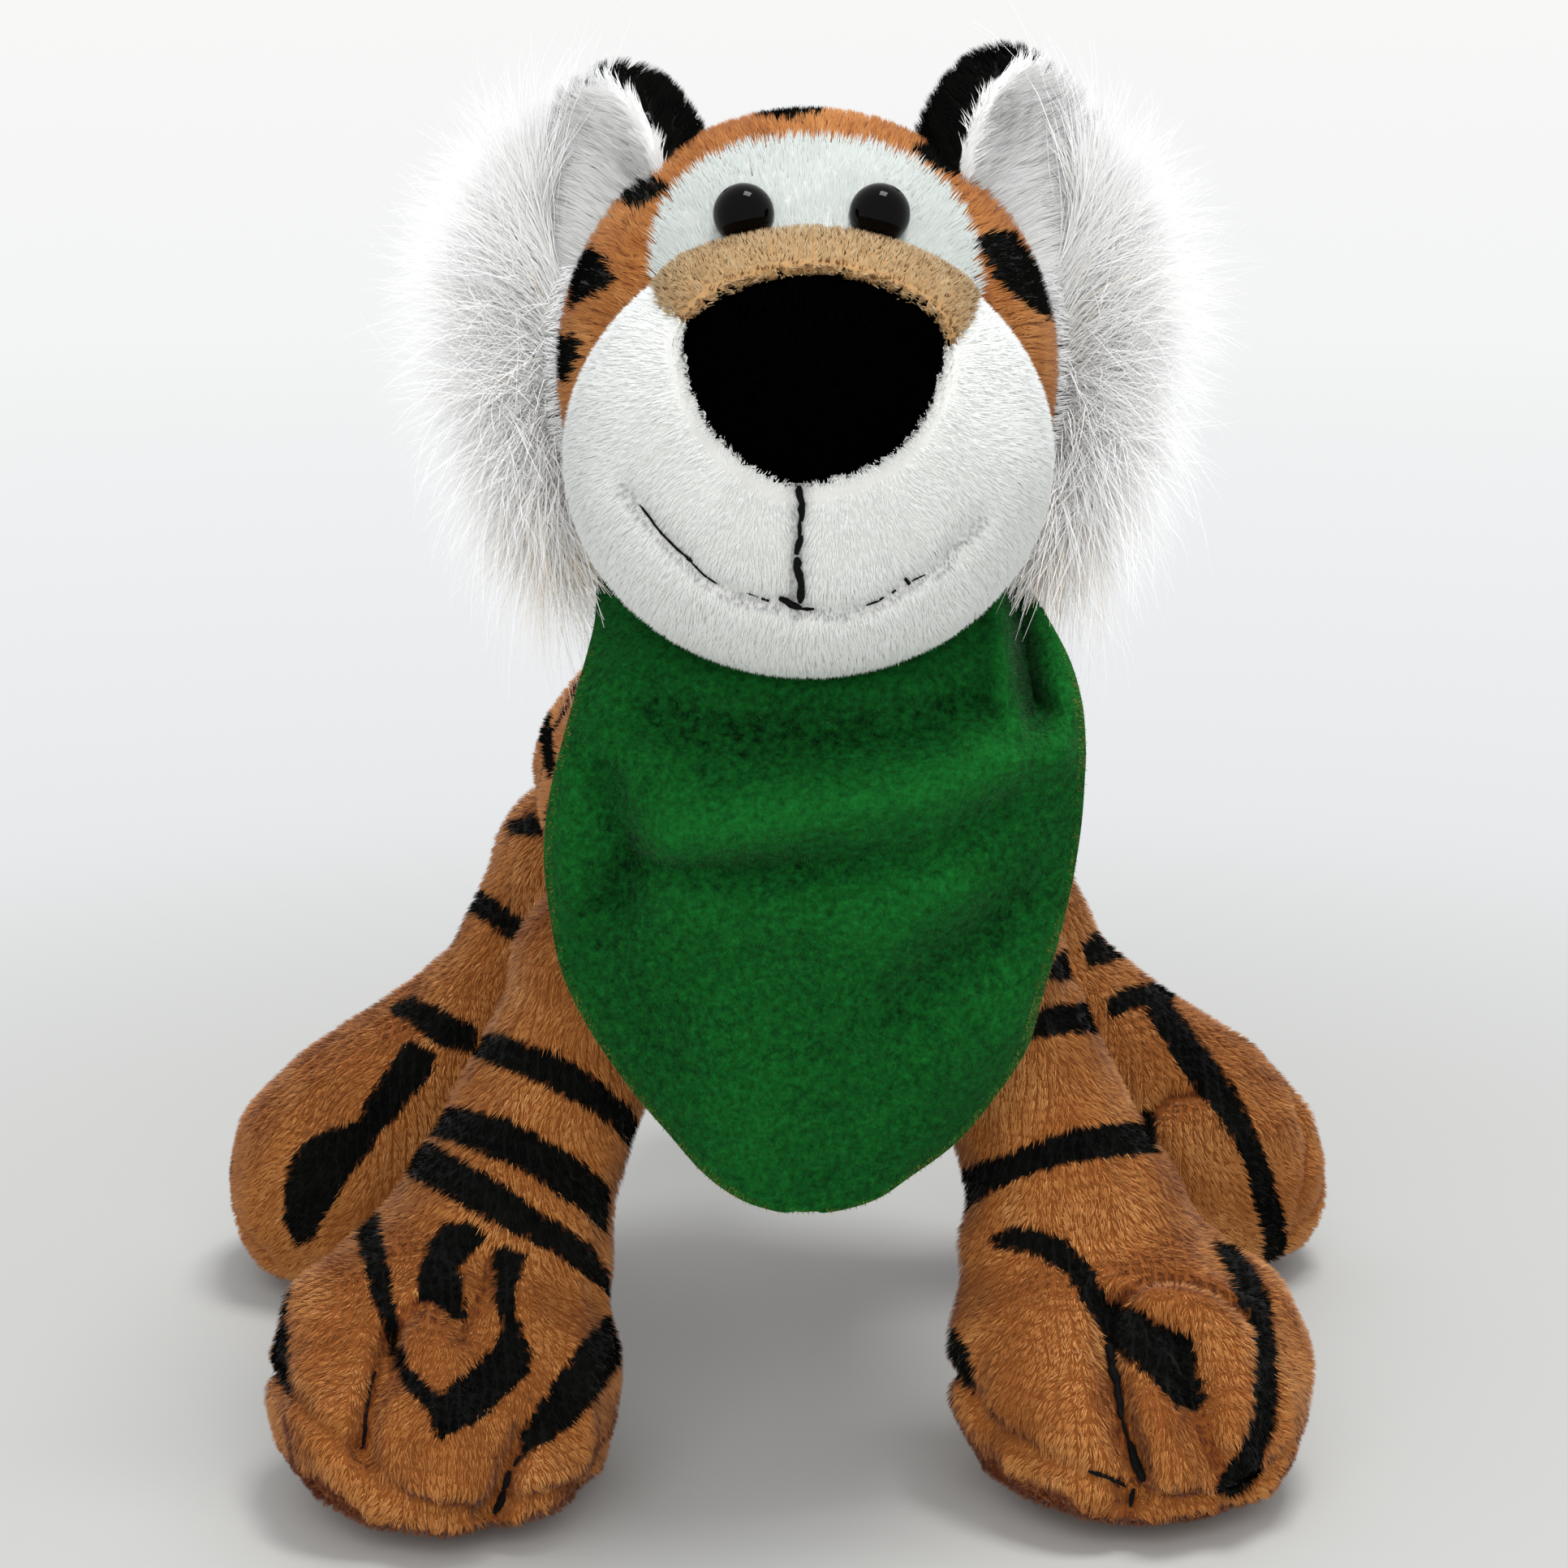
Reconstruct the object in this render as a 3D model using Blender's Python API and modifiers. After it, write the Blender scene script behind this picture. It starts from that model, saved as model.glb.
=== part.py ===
"""A standing plush tiger with a felt neckerchief, in metres, +Z up and facing -Y.

Every stuffed part is a plush skin with an opening where it is sewn on, and a filling inside it.
The neck, the legs and the tail turn on balls that sit in hollows of the part that carries them.
"""

import math

import bmesh
import bpy
import numpy as np
from mathutils import Matrix, Vector

# Clearances and cloth
seam_gap = 0.0003  # between pieces that are sewn or stuffed against each other
joint_gap = 0.0005  # where faces are curved, so that their flats clear each other
plush_thickness = 0.0020  # backing and pile together
felt_thickness = 0.0012
overrun = 0.0200  # how far a cutter runs past what it cuts
sole_press = 0.0005  # how deep a paw is pressed flat by the weight on it

# Torso, from the chest at the front to the rump
torso_length = 0.1100
torso_half_width = 0.0352
torso_height = 0.0560
torso_centre_y = 0.0050
torso_centre_z = 0.0850
tail_opening_radius = 0.0035

# Neck, a stuffed ball between torso and head
neck_radius = 0.0210
neck_x = 0.0026  # the toy stands with its neck a little to its left
neck_y = -0.0120
neck_z = 0.1140
neck_opening_radius = 0.0090

# Head, in a frame at the neck's centre that faces along the head's own -Y
head_pitch_degrees = 14.0
head_yaw_degrees = -1.5
head_forward = 0.0200
head_rise = 0.0305
head_half_width = 0.0324
head_half_depth = 0.0300
head_half_height = 0.0335

# Muzzle, placed from the head's centre
muzzle_forward = 0.0230
muzzle_drop = 0.0132
muzzle_half_width = 0.0308
muzzle_half_depth = 0.0265
muzzle_half_height = 0.0277

# Face panels, placed from the muzzle's or the head's centre
nose_half_width = 0.0158
nose_half_height = 0.0130
nose_rise = 0.0080
bridge_half_width = 0.0200
bridge_half_height = 0.0090
bridge_rise = 0.0240
patch_half_width = 0.0208
patch_half_height = 0.0160
patch_rise = 0.0135

# Eyes, beads on shanks that are held by a washer inside the head
eye_radius = 0.0038
eye_spread = 0.0084
eye_rise = 0.0172
eye_room_share = 0.25  # room round the bead in the muzzle below it, of its radius
eye_standing_share = 0.35  # how far the bead's centre stands out of the face, of its radius
shank_radius = 0.0012
shank_length = 0.0060
washer_radius = 0.0048
washer_thickness = 0.0012

# Ears, two cupped layers that stand on the top corners of the head and open out and forward
ear_half_width = 0.0126
ear_half_depth = 0.0095
ear_half_height = 0.0180
ear_back_thickness = 0.0020
ear_front_thickness = 0.0030
ear_rim_forward = 0.0020
ear_spread = 0.0240
ear_rise = 0.0235
ear_setback = 0.0010
right_ear_inset = 0.0016
right_ear_drop = 0.0022
ear_turn_degrees = 50.0
ear_lean_degrees = 10.0

# Mane panels, long-pile strips that stand out behind the cheeks
mane_half_height = 0.0290
mane_half_depth = 0.0040
mane_reach = 0.0120
mane_rise = 0.0030
mane_setback = 0.0040
mane_lean_degrees = 6.0

# Mouth thread
thread_radius = 0.0005
mouth_line_length = 0.0150
smile_reach = 0.0205
smile_rise = 0.0115

# Front legs: ball, slant and paw
front_ball_radius = 0.0140
front_ball_x = 0.0235
front_ball_y = -0.0280
front_ball_z = 0.0680
front_ankle_half_width = 0.0133
front_ankle_half_depth = 0.0120
front_paw_x = 0.0456
front_paw_y = -0.0420
front_paw_half_width = 0.0244
front_paw_half_depth = 0.0232

# Hind legs
hind_ball_radius = 0.0150
hind_ball_x = 0.0280
hind_ball_y = 0.0350
hind_ball_z = 0.0660
hind_ankle_half_width = 0.0140
hind_ankle_half_depth = 0.0125
hind_paw_x = 0.0612
hind_paw_y = 0.0440
hind_paw_half_width = 0.0229
hind_paw_half_depth = 0.0220

# Both pairs of legs
leg_opening_radius = 0.0070
sole_height = 0.0065
sole_tilt_degrees = 7.0
toe_spread = 0.0085
toe_line_length = 0.0100

# Tail
tail_ball_radius = 0.0062
tail_inset = 0.0028
tail_y = torso_centre_y + torso_length / 2 - tail_inset
tail_z = 0.0890
tail_length = 0.0600
tail_radius = 0.0055
tail_droop_degrees = 78.0
tail_tip_share = 0.28
tail_swell_share = 0.18

# Neckerchief: a collar round the neck, and the flap that hangs from it
collar_half_width = 0.0262
collar_half_depth = 0.0245
collar_side_z = 0.1180
collar_front_drop = 0.0095
collar_back_drop = 0.0010
collar_band_height = 0.0085
collar_band_flare = 0.0030
flap_half_width = 0.0336
flap_top_z = 0.0980
flap_length = 0.0530
flap_standoff = 0.0060
flap_front_y = torso_centre_y - torso_length / 2 - flap_standoff
flap_curve = 0.0075
fold_depth = 0.0012
collar_front_degrees = 72.0
collar_back_degrees = 112.0
collar_bow_share = 0.10
fold_count, fold_slant, fold_growth = 1.6, 0.25, 2.0

# Where the origin lies behind the torso's own reference point
origin_setback = 0.0133

# Counts
torso_segments, torso_rings = 20, 12
head_segments, head_rings = 22, 13
muzzle_segments, muzzle_rings = 22, 11
leg_segments, leg_rings = 14, 12
ball_segments, ball_rings = 16, 10
tail_segments, tail_rings = 10, 9
core_segments, core_rings = 10, 7
thread_points = 6
flap_columns, flap_rows = 11, 10
collar_columns, collar_rows = 28, 4

# Places along the torso: share of its length from the chest, then the share of half its width, and
# the shares of its height that its top and its bottom lie above and below the centre
torso_shares = (
    (0.00, 0.00, 0.00, 0.00),
    (0.06, 0.48, 0.20, 0.26),
    (0.16, 0.74, 0.30, 0.40),
    (0.28, 0.88, 0.36, 0.43),
    (0.42, 0.96, 0.40, 0.43),
    (0.56, 1.00, 0.43, 0.44),
    (0.70, 1.00, 0.42, 0.46),
    (0.83, 0.92, 0.35, 0.45),
    (0.93, 0.66, 0.22, 0.33),
    (1.00, 0.00, -0.04, 0.04),
)

# Places down a leg: share of the drop from the ball's centre to the floor, the shares of the way
# from the ball to the paw in X and Y, then how far the half width and the half depth have gone
# from the ankle's to the paw's
front_leg_shares = (
    (-0.10, 0.00, 0.00, -0.25, -0.24),
    (0.00, 0.04, 0.00, -0.02, -0.10),
    (0.10, 0.20, 0.02, -0.02, -0.10),
    (0.22, 0.37, 0.06, 0.00, -0.08),
    (0.36, 0.57, 0.16, 0.11, 0.02),
    (0.48, 0.76, 0.32, 0.34, 0.24),
    (0.58, 0.95, 0.54, 0.72, 0.58),
    (0.68, 1.02, 0.78, 0.95, 0.84),
    (0.78, 1.02, 0.94, 1.00, 0.97),
    (0.86, 1.02, 1.00, 0.90, 1.00),
    (0.93, 1.00, 1.00, 0.64, 0.84),
    (0.98, 0.98, 0.98, 0.20, 0.40),
    (1.00, 0.97, 0.97, -0.40, -0.10),
)
hind_leg_shares = (
    (-0.10, 0.00, 0.00, -0.34, -0.30),
    (0.00, 0.05, 0.00, -0.02, -0.08),
    (0.10, 0.12, 0.02, 0.00, -0.10),
    (0.22, 0.27, 0.08, 0.04, -0.04),
    (0.36, 0.56, 0.22, 0.34, 0.20),
    (0.48, 0.80, 0.42, 0.73, 0.50),
    (0.58, 0.92, 0.64, 0.93, 0.80),
    (0.68, 0.98, 0.84, 1.00, 0.95),
    (0.78, 1.00, 0.97, 1.00, 1.00),
    (0.86, 1.00, 1.00, 0.95, 0.98),
    (0.93, 0.99, 1.00, 0.70, 0.80),
    (0.98, 0.97, 0.98, 0.25, 0.35),
    (1.00, 0.96, 0.97, -0.40, -0.10),
)

# Outlines of the face panels, right half from the top down, as shares of the panel's half sizes
nose_shares = (
    (0.00, 1.00),
    (0.41, 0.91),
    (0.81, 0.72),
    (1.00, 0.46),
    (0.99, 0.00),
    (0.84, -0.46),
    (0.64, -0.73),
    (0.43, -0.88),
    (0.20, -0.98),
    (0.00, -1.00),
)
bridge_shares = (
    (0.00, 1.00),
    (0.96, 1.00),
    (1.00, 0.00),
    (0.93, -0.60),
    (0.76, -0.95),
    (0.00, -0.70),
)
patch_shares = (
    (0.00, 1.00),
    (0.30, 0.96),
    (0.60, 0.78),
    (0.84, 0.46),
    (1.00, 0.00),
    (1.00, -0.60),
    (0.84, -1.00),
    (0.00, -1.00),
)

# The flap's outline: share of its length from the top, share of its half width
flap_shares = (
    (0.00, 1.00),
    (0.20, 0.985),
    (0.38, 0.92),
    (0.54, 0.82),
    (0.69, 0.68),
    (0.81, 0.53),
    (0.91, 0.36),
    (0.97, 0.20),
    (1.00, 0.06),
)

# Colours of the materials, and how rough each is
brown, dark_brown = (0.44, 0.23, 0.09), (0.30, 0.15, 0.06)
white, cream = (0.80, 0.82, 0.80), (0.72, 0.70, 0.64)
tan, black, green = (0.58, 0.36, 0.16), (0.012, 0.011, 0.010), (0.008, 0.13, 0.02)
cloth_roughness, bead_roughness, washer_roughness = 0.9, 0.12, 0.4


def clear_scene():
    for thing in list(bpy.data.objects):
        bpy.data.objects.remove(thing, do_unlink=True)


def collection(name):
    made = bpy.data.collections.new(name)
    bpy.context.scene.collection.children.link(made)
    return made


clear_scene()
tiger = collection("plush_tiger")
cutters = collection("cutters")


def material(name, colour, roughness=cloth_roughness):
    made = bpy.data.materials.new(name)
    made.use_nodes = True
    shader = made.node_tree.nodes["Principled BSDF"]
    shader.inputs["Base Color"].default_value = (*colour, 1.0)
    shader.inputs["Roughness"].default_value = roughness
    shader.inputs["Metallic"].default_value = 0.0
    return made


def empty(name, place, parent=None, turn=(0.0, 0.0, 0.0)):
    made = bpy.data.objects.new(name, None)
    made.location = place
    made.rotation_euler = turn
    made.parent = parent
    tiger.objects.link(made)
    return made


def keep(bm, name, parent, place=(0.0, 0.0, 0.0)):
    """Makes an object of the mesh, in the cutters until it is named as a piece."""
    bmesh.ops.recalc_face_normals(bm, faces=bm.faces)
    if bm.calc_volume(signed=True) < 0.0:
        bmesh.ops.reverse_faces(bm, faces=bm.faces)
    mesh = bpy.data.meshes.new(name)
    bm.to_mesh(mesh)
    bm.free()
    made = bpy.data.objects.new(name, mesh)
    made.location = place
    made.parent = parent
    made.hide_render = True
    made.display_type = "WIRE"
    cutters.objects.link(made)
    return made


def piece(obj, name, colour, roughness=cloth_roughness):
    """Turns a shape into one of the toy's own pieces."""
    obj.name = name
    obj.data.materials.append(material(name, colour, roughness))
    obj.data.shade_smooth()
    obj.data.set_sharp_from_angle(angle=math.radians(50))
    obj.hide_render = False
    obj.display_type = "TEXTURED"
    cutters.objects.unlink(obj)
    tiger.objects.link(obj)
    return obj


def boolean(obj, operation, *others):
    for other in others:
        step = obj.modifiers.new(operation.lower() + "_" + other.name, "BOOLEAN")
        step.operation = operation
        step.solver = "EXACT"
        step.object = other
    return obj


def cut(obj, *others):
    return boolean(obj, "DIFFERENCE", *others)


def join(obj, *others):
    return boolean(obj, "UNION", *others)


def within(obj, *others):
    return boolean(obj, "INTERSECT", *others)


def ellipsoid(name, parent, centre, halves, segments, rings, turn=None):
    bm = bmesh.new()
    bmesh.ops.create_uvsphere(bm, u_segments=segments, v_segments=rings, radius=1.0)
    bmesh.ops.scale(bm, vec=Vector(halves), verts=bm.verts)
    if turn is not None:
        bmesh.ops.rotate(bm, matrix=turn, verts=bm.verts)
    bmesh.ops.translate(bm, vec=Vector(centre), verts=bm.verts)
    return keep(bm, name, parent)


def ball(name, parent, centre, radius, segments=ball_segments, rings=ball_rings):
    return ellipsoid(name, parent, centre, (radius,) * 3, segments, rings)


def socket(name, parent, centre, radius):
    """A cutter whose flat faces all clear a ball of this radius, however the ball is turned."""
    flats = math.cos(math.pi / ball_segments) * math.cos(math.pi / ball_rings / 2)
    return ball(name, parent, centre, (radius + seam_gap) / flats)


def rod(name, parent, start, end, radius, segments=16):
    """A solid cylinder from one point to another."""
    way = Vector(end) - Vector(start)
    turn = way.to_track_quat("Z", "Y").to_matrix()
    bm = bmesh.new()
    bmesh.ops.create_cone(
        bm, cap_ends=True, segments=segments, radius1=radius, radius2=radius, depth=way.length
    )
    bmesh.ops.rotate(bm, matrix=turn, verts=bm.verts)
    bmesh.ops.translate(bm, vec=Vector(start) + way / 2, verts=bm.verts)
    return keep(bm, name, parent)


def box(name, parent, low, high, turn=None, about=(0.0, 0.0, 0.0)):
    low, high = Vector(low), Vector(high)
    bm = bmesh.new()
    bmesh.ops.create_cube(bm, size=1.0)
    bmesh.ops.scale(bm, vec=high - low, verts=bm.verts)
    bmesh.ops.translate(bm, vec=(high + low) / 2, verts=bm.verts)
    if turn is not None:
        bmesh.ops.rotate(bm, matrix=turn, verts=bm.verts, cent=Vector(about))
    return keep(bm, name, parent)


def stuffed(name, parent, sections, axis, segments, rings):
    """A round-ended form through sections (place along the axis, two centres, two halves)."""
    table = np.array(sections)
    along = table[:, 0]
    bm = bmesh.new()
    bmesh.ops.create_uvsphere(bm, u_segments=segments, v_segments=rings, radius=1.0)
    for vert in bm.verts:
        place = along[0] + (along[-1] - along[0]) * (1.0 - vert.co.z) / 2.0
        centre_a, centre_b = (np.interp(place, along, table[:, i]) for i in (1, 2))
        half_a, half_b = (math.sqrt(np.interp(place, along, table[:, i] ** 2)) for i in (3, 4))
        ring = math.hypot(vert.co.x, vert.co.y) or 1.0
        a = centre_a + half_a * vert.co.x / ring
        b = centre_b + half_b * vert.co.y / ring
        vert.co = (a, place, b) if axis == "Y" else (a, b, -place)
    return keep(bm, name, parent)


def smoothed(rows, count):
    """The table's rows at more places, on a curve through them."""
    rows = np.array(rows)
    wanted = np.linspace(rows[0, 0], rows[-1, 0], count)
    tangents = np.gradient(rows, rows[:, 0], axis=0)
    result = []
    for place in wanted:
        i = min(int(np.searchsorted(rows[:, 0], place, side="right")) - 1, len(rows) - 2)
        span = rows[i + 1, 0] - rows[i, 0]
        t = (place - rows[i, 0]) / span
        result.append(
            (2 * t**3 - 3 * t**2 + 1) * rows[i]
            + (t**3 - 2 * t**2 + t) * span * tangents[i]
            + (3 * t**2 - 2 * t**3) * rows[i + 1]
            + (t**3 - t**2) * span * tangents[i + 1]
        )
    return np.array(result)


def shrunk(sections, inset):
    """The same form drawn in by a distance all round."""
    rows = np.array(sections)
    rows[:, 3:] = np.maximum(rows[:, 3:] - inset, 0.0)
    middle = (rows[0, 0] + rows[-1, 0]) / 2
    half = (rows[-1, 0] - rows[0, 0]) / 2
    rows[:, 0] = middle + (rows[:, 0] - middle) * (half - inset) / half
    return rows


origin = empty("tiger_origin", (0.0, -origin_setback, 0.0))
neck_place = Vector((neck_x, neck_y, neck_z))
neck = empty("neck_centre", neck_place, origin)
head_turn = (math.radians(-head_pitch_degrees), 0.0, math.radians(head_yaw_degrees))
head = empty("head_frame", neck_place, origin, head_turn)
head_centre = Vector((0.0, -head_forward, head_rise))
muzzle_centre = head_centre + Vector((0.0, -muzzle_forward, -muzzle_drop))


def leg_sizes(front):
    """Ball centre, ball radius, paw centre, ankle halves and paw halves of a front or hind leg."""
    if front:
        return (
            Vector((front_ball_x, front_ball_y, front_ball_z)),
            front_ball_radius,
            Vector((front_paw_x, front_paw_y, 0.0)),
            (front_ankle_half_width, front_ankle_half_depth),
            (front_paw_half_width, front_paw_half_depth),
        )
    return (
        Vector((hind_ball_x, hind_ball_y, hind_ball_z)),
        hind_ball_radius,
        Vector((hind_paw_x, hind_paw_y, 0.0)),
        (hind_ankle_half_width, hind_ankle_half_depth),
        (hind_paw_half_width, hind_paw_half_depth),
    )


def mirrored(point, side):
    return Vector((point.x * side, point.y, point.z))


hands = (("right", -1), ("left", 1))
legs = [
    (end + "_" + hand, end == "front", side)
    for end in ("front", "hind")
    for hand, side in hands
]


def hollows(inset, target):
    """Hollows that the neck, the legs and the tail turn in, larger all round by an inset."""
    made = [socket(target + "_neck_hollow", origin, neck_place, neck_radius + inset)]
    for name, front, side in legs:
        centre, radius = leg_sizes(front)[:2]
        place = mirrored(centre, side)
        made.append(socket(target + name + "_hollow", origin, place, radius + inset))
    tail = (0.0, tail_y, tail_z)
    made.append(socket(target + "_tail_hollow", origin, tail, tail_ball_radius + inset))
    return made


def torso_sections(inset):
    front = torso_centre_y - torso_length / 2
    rows = []
    for share, width, top, bottom in torso_shares:
        middle = torso_centre_z + torso_height * (top - bottom) / 2
        height = torso_height * (top + bottom) / 2
        rows.append((front + torso_length * share, 0.0, middle, torso_half_width * width, height))
    return shrunk(rows, inset)


def torso_form(name, inset, segments=torso_segments, rings=torso_rings):
    return stuffed(name, origin, torso_sections(inset), "Y", segments, rings)


def build_torso():
    inner = torso_form("torso_inside", plush_thickness, core_segments, core_rings)
    cut(inner, *hollows(plush_thickness, "torso_inside"))
    skin = cut(torso_form("torso_skin", 0.0), *hollows(0.0, "torso"), inner)
    below_neck = neck_place - Vector((0.0, 0.0, neck_radius + plush_thickness * 2))
    cut(skin, rod("torso_neck_opening", origin, below_neck, neck_place, neck_opening_radius))
    piece(skin, "torso_skin", brown)
    inset = plush_thickness + seam_gap
    filling = torso_form("torso_filling", inset, core_segments, core_rings)
    cut(filling, *hollows(inset, "torso_filling"))
    piece(filling, "torso_filling", cream)


def build_neck():
    """The stuffed ball that the head nods on, open above and below."""
    skin = ball("neck_skin", neck, (0.0, 0.0, 0.0), neck_radius)
    inside = ball("neck_inside", neck, (0.0, 0.0, 0.0), neck_radius - plush_thickness)
    ends = (0.0, 0.0, -neck_radius - overrun), (0.0, 0.0, neck_radius + overrun)
    cut(skin, inside, rod("neck_openings", neck, *ends, neck_opening_radius))
    piece(skin, "neck_skin", brown)
    filling = ball("neck_filling", neck, (0.0, 0.0, 0.0), neck_radius - plush_thickness - seam_gap)
    piece(filling, "neck_filling", cream)


def neck_socket(name, inset):
    return socket(name, head, (0.0, 0.0, 0.0), neck_radius + inset)


def head_form(name, inset, segments=head_segments, rings=head_rings):
    halves = (head_half_width - inset, head_half_depth - inset, head_half_height - inset)
    return ellipsoid(name, head, head_centre, halves, segments, rings)


def muzzle_form(name, inset, segments=muzzle_segments, rings=muzzle_rings):
    halves = (muzzle_half_width - inset, muzzle_half_depth - inset, muzzle_half_height - inset)
    return ellipsoid(name, head, muzzle_centre, halves, segments, rings)


def panel_prism(name, shares, centre, half_width, half_height, grow):
    """An outline seen from the front of the face, run back through the panel's shell."""
    wide, high = half_width + grow, half_height + grow
    right = [(wide * a, high * b) for a, b in shares]
    left = [(-x, z) for x, z in reversed(right) if x > 0.0]
    bm = bmesh.new()
    verts = [bm.verts.new((centre.x + x, 0.0, centre.z + z)) for x, z in right + left]
    face = bm.faces.new(verts)
    back = Vector((0.0, centre.y - verts[0].co.y, 0.0))
    bmesh.ops.translate(bm, vec=back, verts=bm.verts)
    moved = bmesh.ops.extrude_face_region(bm, geom=[face])["geom"]
    forward = Vector((0.0, -head_half_depth - muzzle_half_depth - overrun, 0.0))
    ends = [thing for thing in moved if isinstance(thing, bmesh.types.BMVert)]
    bmesh.ops.translate(bm, vec=forward, verts=ends)
    bmesh.ops.triangulate(bm, faces=bm.faces)
    return keep(bm, name, head)


nose_place = muzzle_centre + Vector((0.0, 0.0, nose_rise))
bridge_place = muzzle_centre + Vector((0.0, 0.0, bridge_rise))
patch_place = head_centre + Vector((0.0, 0.0, patch_rise))


def nose_prism(name, grow):
    return panel_prism(name, nose_shares, nose_place, nose_half_width, nose_half_height, grow)


def bridge_prism(name, grow):
    start = Vector((bridge_place.x, head_centre.y, bridge_place.z))
    return panel_prism(name, bridge_shares, start, bridge_half_width, bridge_half_height, grow)


def patch_prism(name, grow):
    return panel_prism(name, patch_shares, patch_place, patch_half_width, patch_half_height, grow)


def eye_point(side):
    """Where an eye's shank crosses the outer face of the head."""
    x, z = eye_spread * side, eye_rise
    flat = 1.0 - (x / head_half_width) ** 2 - (z / head_half_height) ** 2
    return head_centre + Vector((x, -head_half_depth * math.sqrt(flat), z))


def shank_hole(name, side):
    point = eye_point(side)
    back = point + Vector((0.0, shank_length + overrun / 2, 0.0))
    front = point - Vector((0.0, overrun / 2, 0.0))
    return rod(name, head, front, back, shank_radius + seam_gap)


def washer_front(side):
    """The plane of a washer's front face, just behind the panel where it slopes furthest back."""
    reach = (eye_spread + washer_radius) * side, eye_rise + washer_radius
    halves = head_half_width - plush_thickness, head_half_height - plush_thickness
    flat = max(1.0 - (reach[0] / halves[0]) ** 2 - (reach[1] / halves[1]) ** 2, 0.0)
    panel = head_centre.y - (head_half_depth - plush_thickness) * math.sqrt(flat)
    return panel + washer_thickness


def build_eye(side, hand):
    point = eye_point(side)
    middle = point - Vector((0.0, eye_radius * eye_standing_share, 0.0))
    bead = ball(hand + "_eye", head, middle, eye_radius)
    cut(bead, head_form(hand + "_eye_seat", -seam_gap))
    back = Vector((point.x, washer_front(side) + washer_thickness * 2, point.z))
    join(bead, rod(hand + "_eye_shank", head, middle, back, shank_radius))
    piece(bead, hand + "_eye", black, bead_roughness)
    start = Vector((point.x, washer_front(side), point.z))
    end = start + Vector((0.0, washer_thickness, 0.0))
    washer = rod(hand + "_eye_washer", head, start, end, washer_radius)
    cut(washer, shank_hole(hand + "_washer_bore", side))
    piece(washer, hand + "_eye_washer", white, washer_roughness)


def washer_pocket(side, hand):
    point = eye_point(side)
    start = Vector((point.x, point.y - overrun, point.z))
    end = Vector((point.x, washer_front(side) + washer_thickness * 2 + seam_gap, point.z))
    return rod(hand + "_washer_pocket", head, start, end, washer_radius + seam_gap)


def build_head():
    inner = head_form("head_inside", plush_thickness, core_segments + 4, core_rings)
    cut(inner, neck_socket("head_inside_socket", plush_thickness))
    holes = [shank_hole(hand + "_shank_hole", side) for hand, side in hands]
    opening = rod("head_neck_opening", head, (0.0, 0.0, 0.0), head_centre, neck_opening_radius)
    skin = cut(head_form("head_skin", 0.0), neck_socket("head_socket", 0.0), inner, opening)
    cut(skin, patch_prism("head_patch_hole", seam_gap / 2))
    piece(skin, "head_skin", brown)

    patch = cut(head_form("eye_patch", 0.0), inner)
    within(patch, patch_prism("eye_patch_outline", -seam_gap / 2))
    cut(patch, *holes)
    piece(patch, "eye_patch", white)

    inset = plush_thickness + seam_gap
    filling = head_form("head_filling", inset, core_segments + 4, core_rings)
    cut(filling, neck_socket("head_filling_socket", inset))
    cut(filling, *(washer_pocket(side, hand) for hand, side in hands))
    piece(filling, "head_filling", cream)
    for hand, side in hands:
        build_eye(side, hand)


def build_muzzle():
    """The snout: a white cup sewn to the front of the head, with the nose and bridge let in."""
    inner = muzzle_form("muzzle_inside", plush_thickness, core_segments + 4, core_rings)
    on_head = head_form("muzzle_seat", -seam_gap)
    eye_room = []
    for hand, side in hands:
        reach = eye_radius * (1.0 + eye_room_share)
        eye_room.append(ball(hand + "_eye_room", head, eye_point(side), reach))
    skin = cut(muzzle_form("muzzle_skin", 0.0), inner, on_head, *eye_room)
    cut(skin, nose_prism("muzzle_nose_hole", seam_gap / 2))
    cut(skin, bridge_prism("muzzle_bridge_hole", seam_gap / 2))
    piece(skin, "muzzle_skin", white)

    nose = cut(muzzle_form("nose", 0.0), inner)
    within(nose, nose_prism("nose_outline", -seam_gap / 2))
    piece(nose, "nose", black)

    bridge = cut(muzzle_form("muzzle_bridge", 0.0), inner, on_head, *eye_room)
    within(bridge, bridge_prism("bridge_outline", -seam_gap / 2))
    cut(bridge, nose_prism("bridge_nose_hole", seam_gap / 2))
    piece(bridge, "muzzle_bridge", tan)

    inset = plush_thickness + seam_gap
    filling = muzzle_form("muzzle_filling", inset, core_segments + 4, core_rings)
    cut(filling, on_head, *eye_room)
    piece(filling, "muzzle_filling", cream)


def ear_form(name, side, inset):
    """The cupped ear's outer form, drawn in all round by a distance."""
    halves = (ear_half_width - inset, ear_half_depth - inset, ear_half_height - inset)
    turn = ear_frame(side)
    return ellipsoid(name, head, ear_centre(side), halves, core_segments + 2, core_rings, turn)


def ear_frame(side):
    turn = Matrix.Rotation(math.radians(ear_turn_degrees) * side, 3, "Z")
    return Matrix.Rotation(math.radians(ear_lean_degrees) * side, 3, "Y") @ turn


def ear_centre(side):
    """The right ear is sewn on a little lower and further in."""
    if side < 0:
        return head_centre + Vector((right_ear_inset - ear_spread, ear_setback, ear_rise - right_ear_drop))
    return head_centre + Vector((ear_spread, ear_setback, ear_rise))


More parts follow.
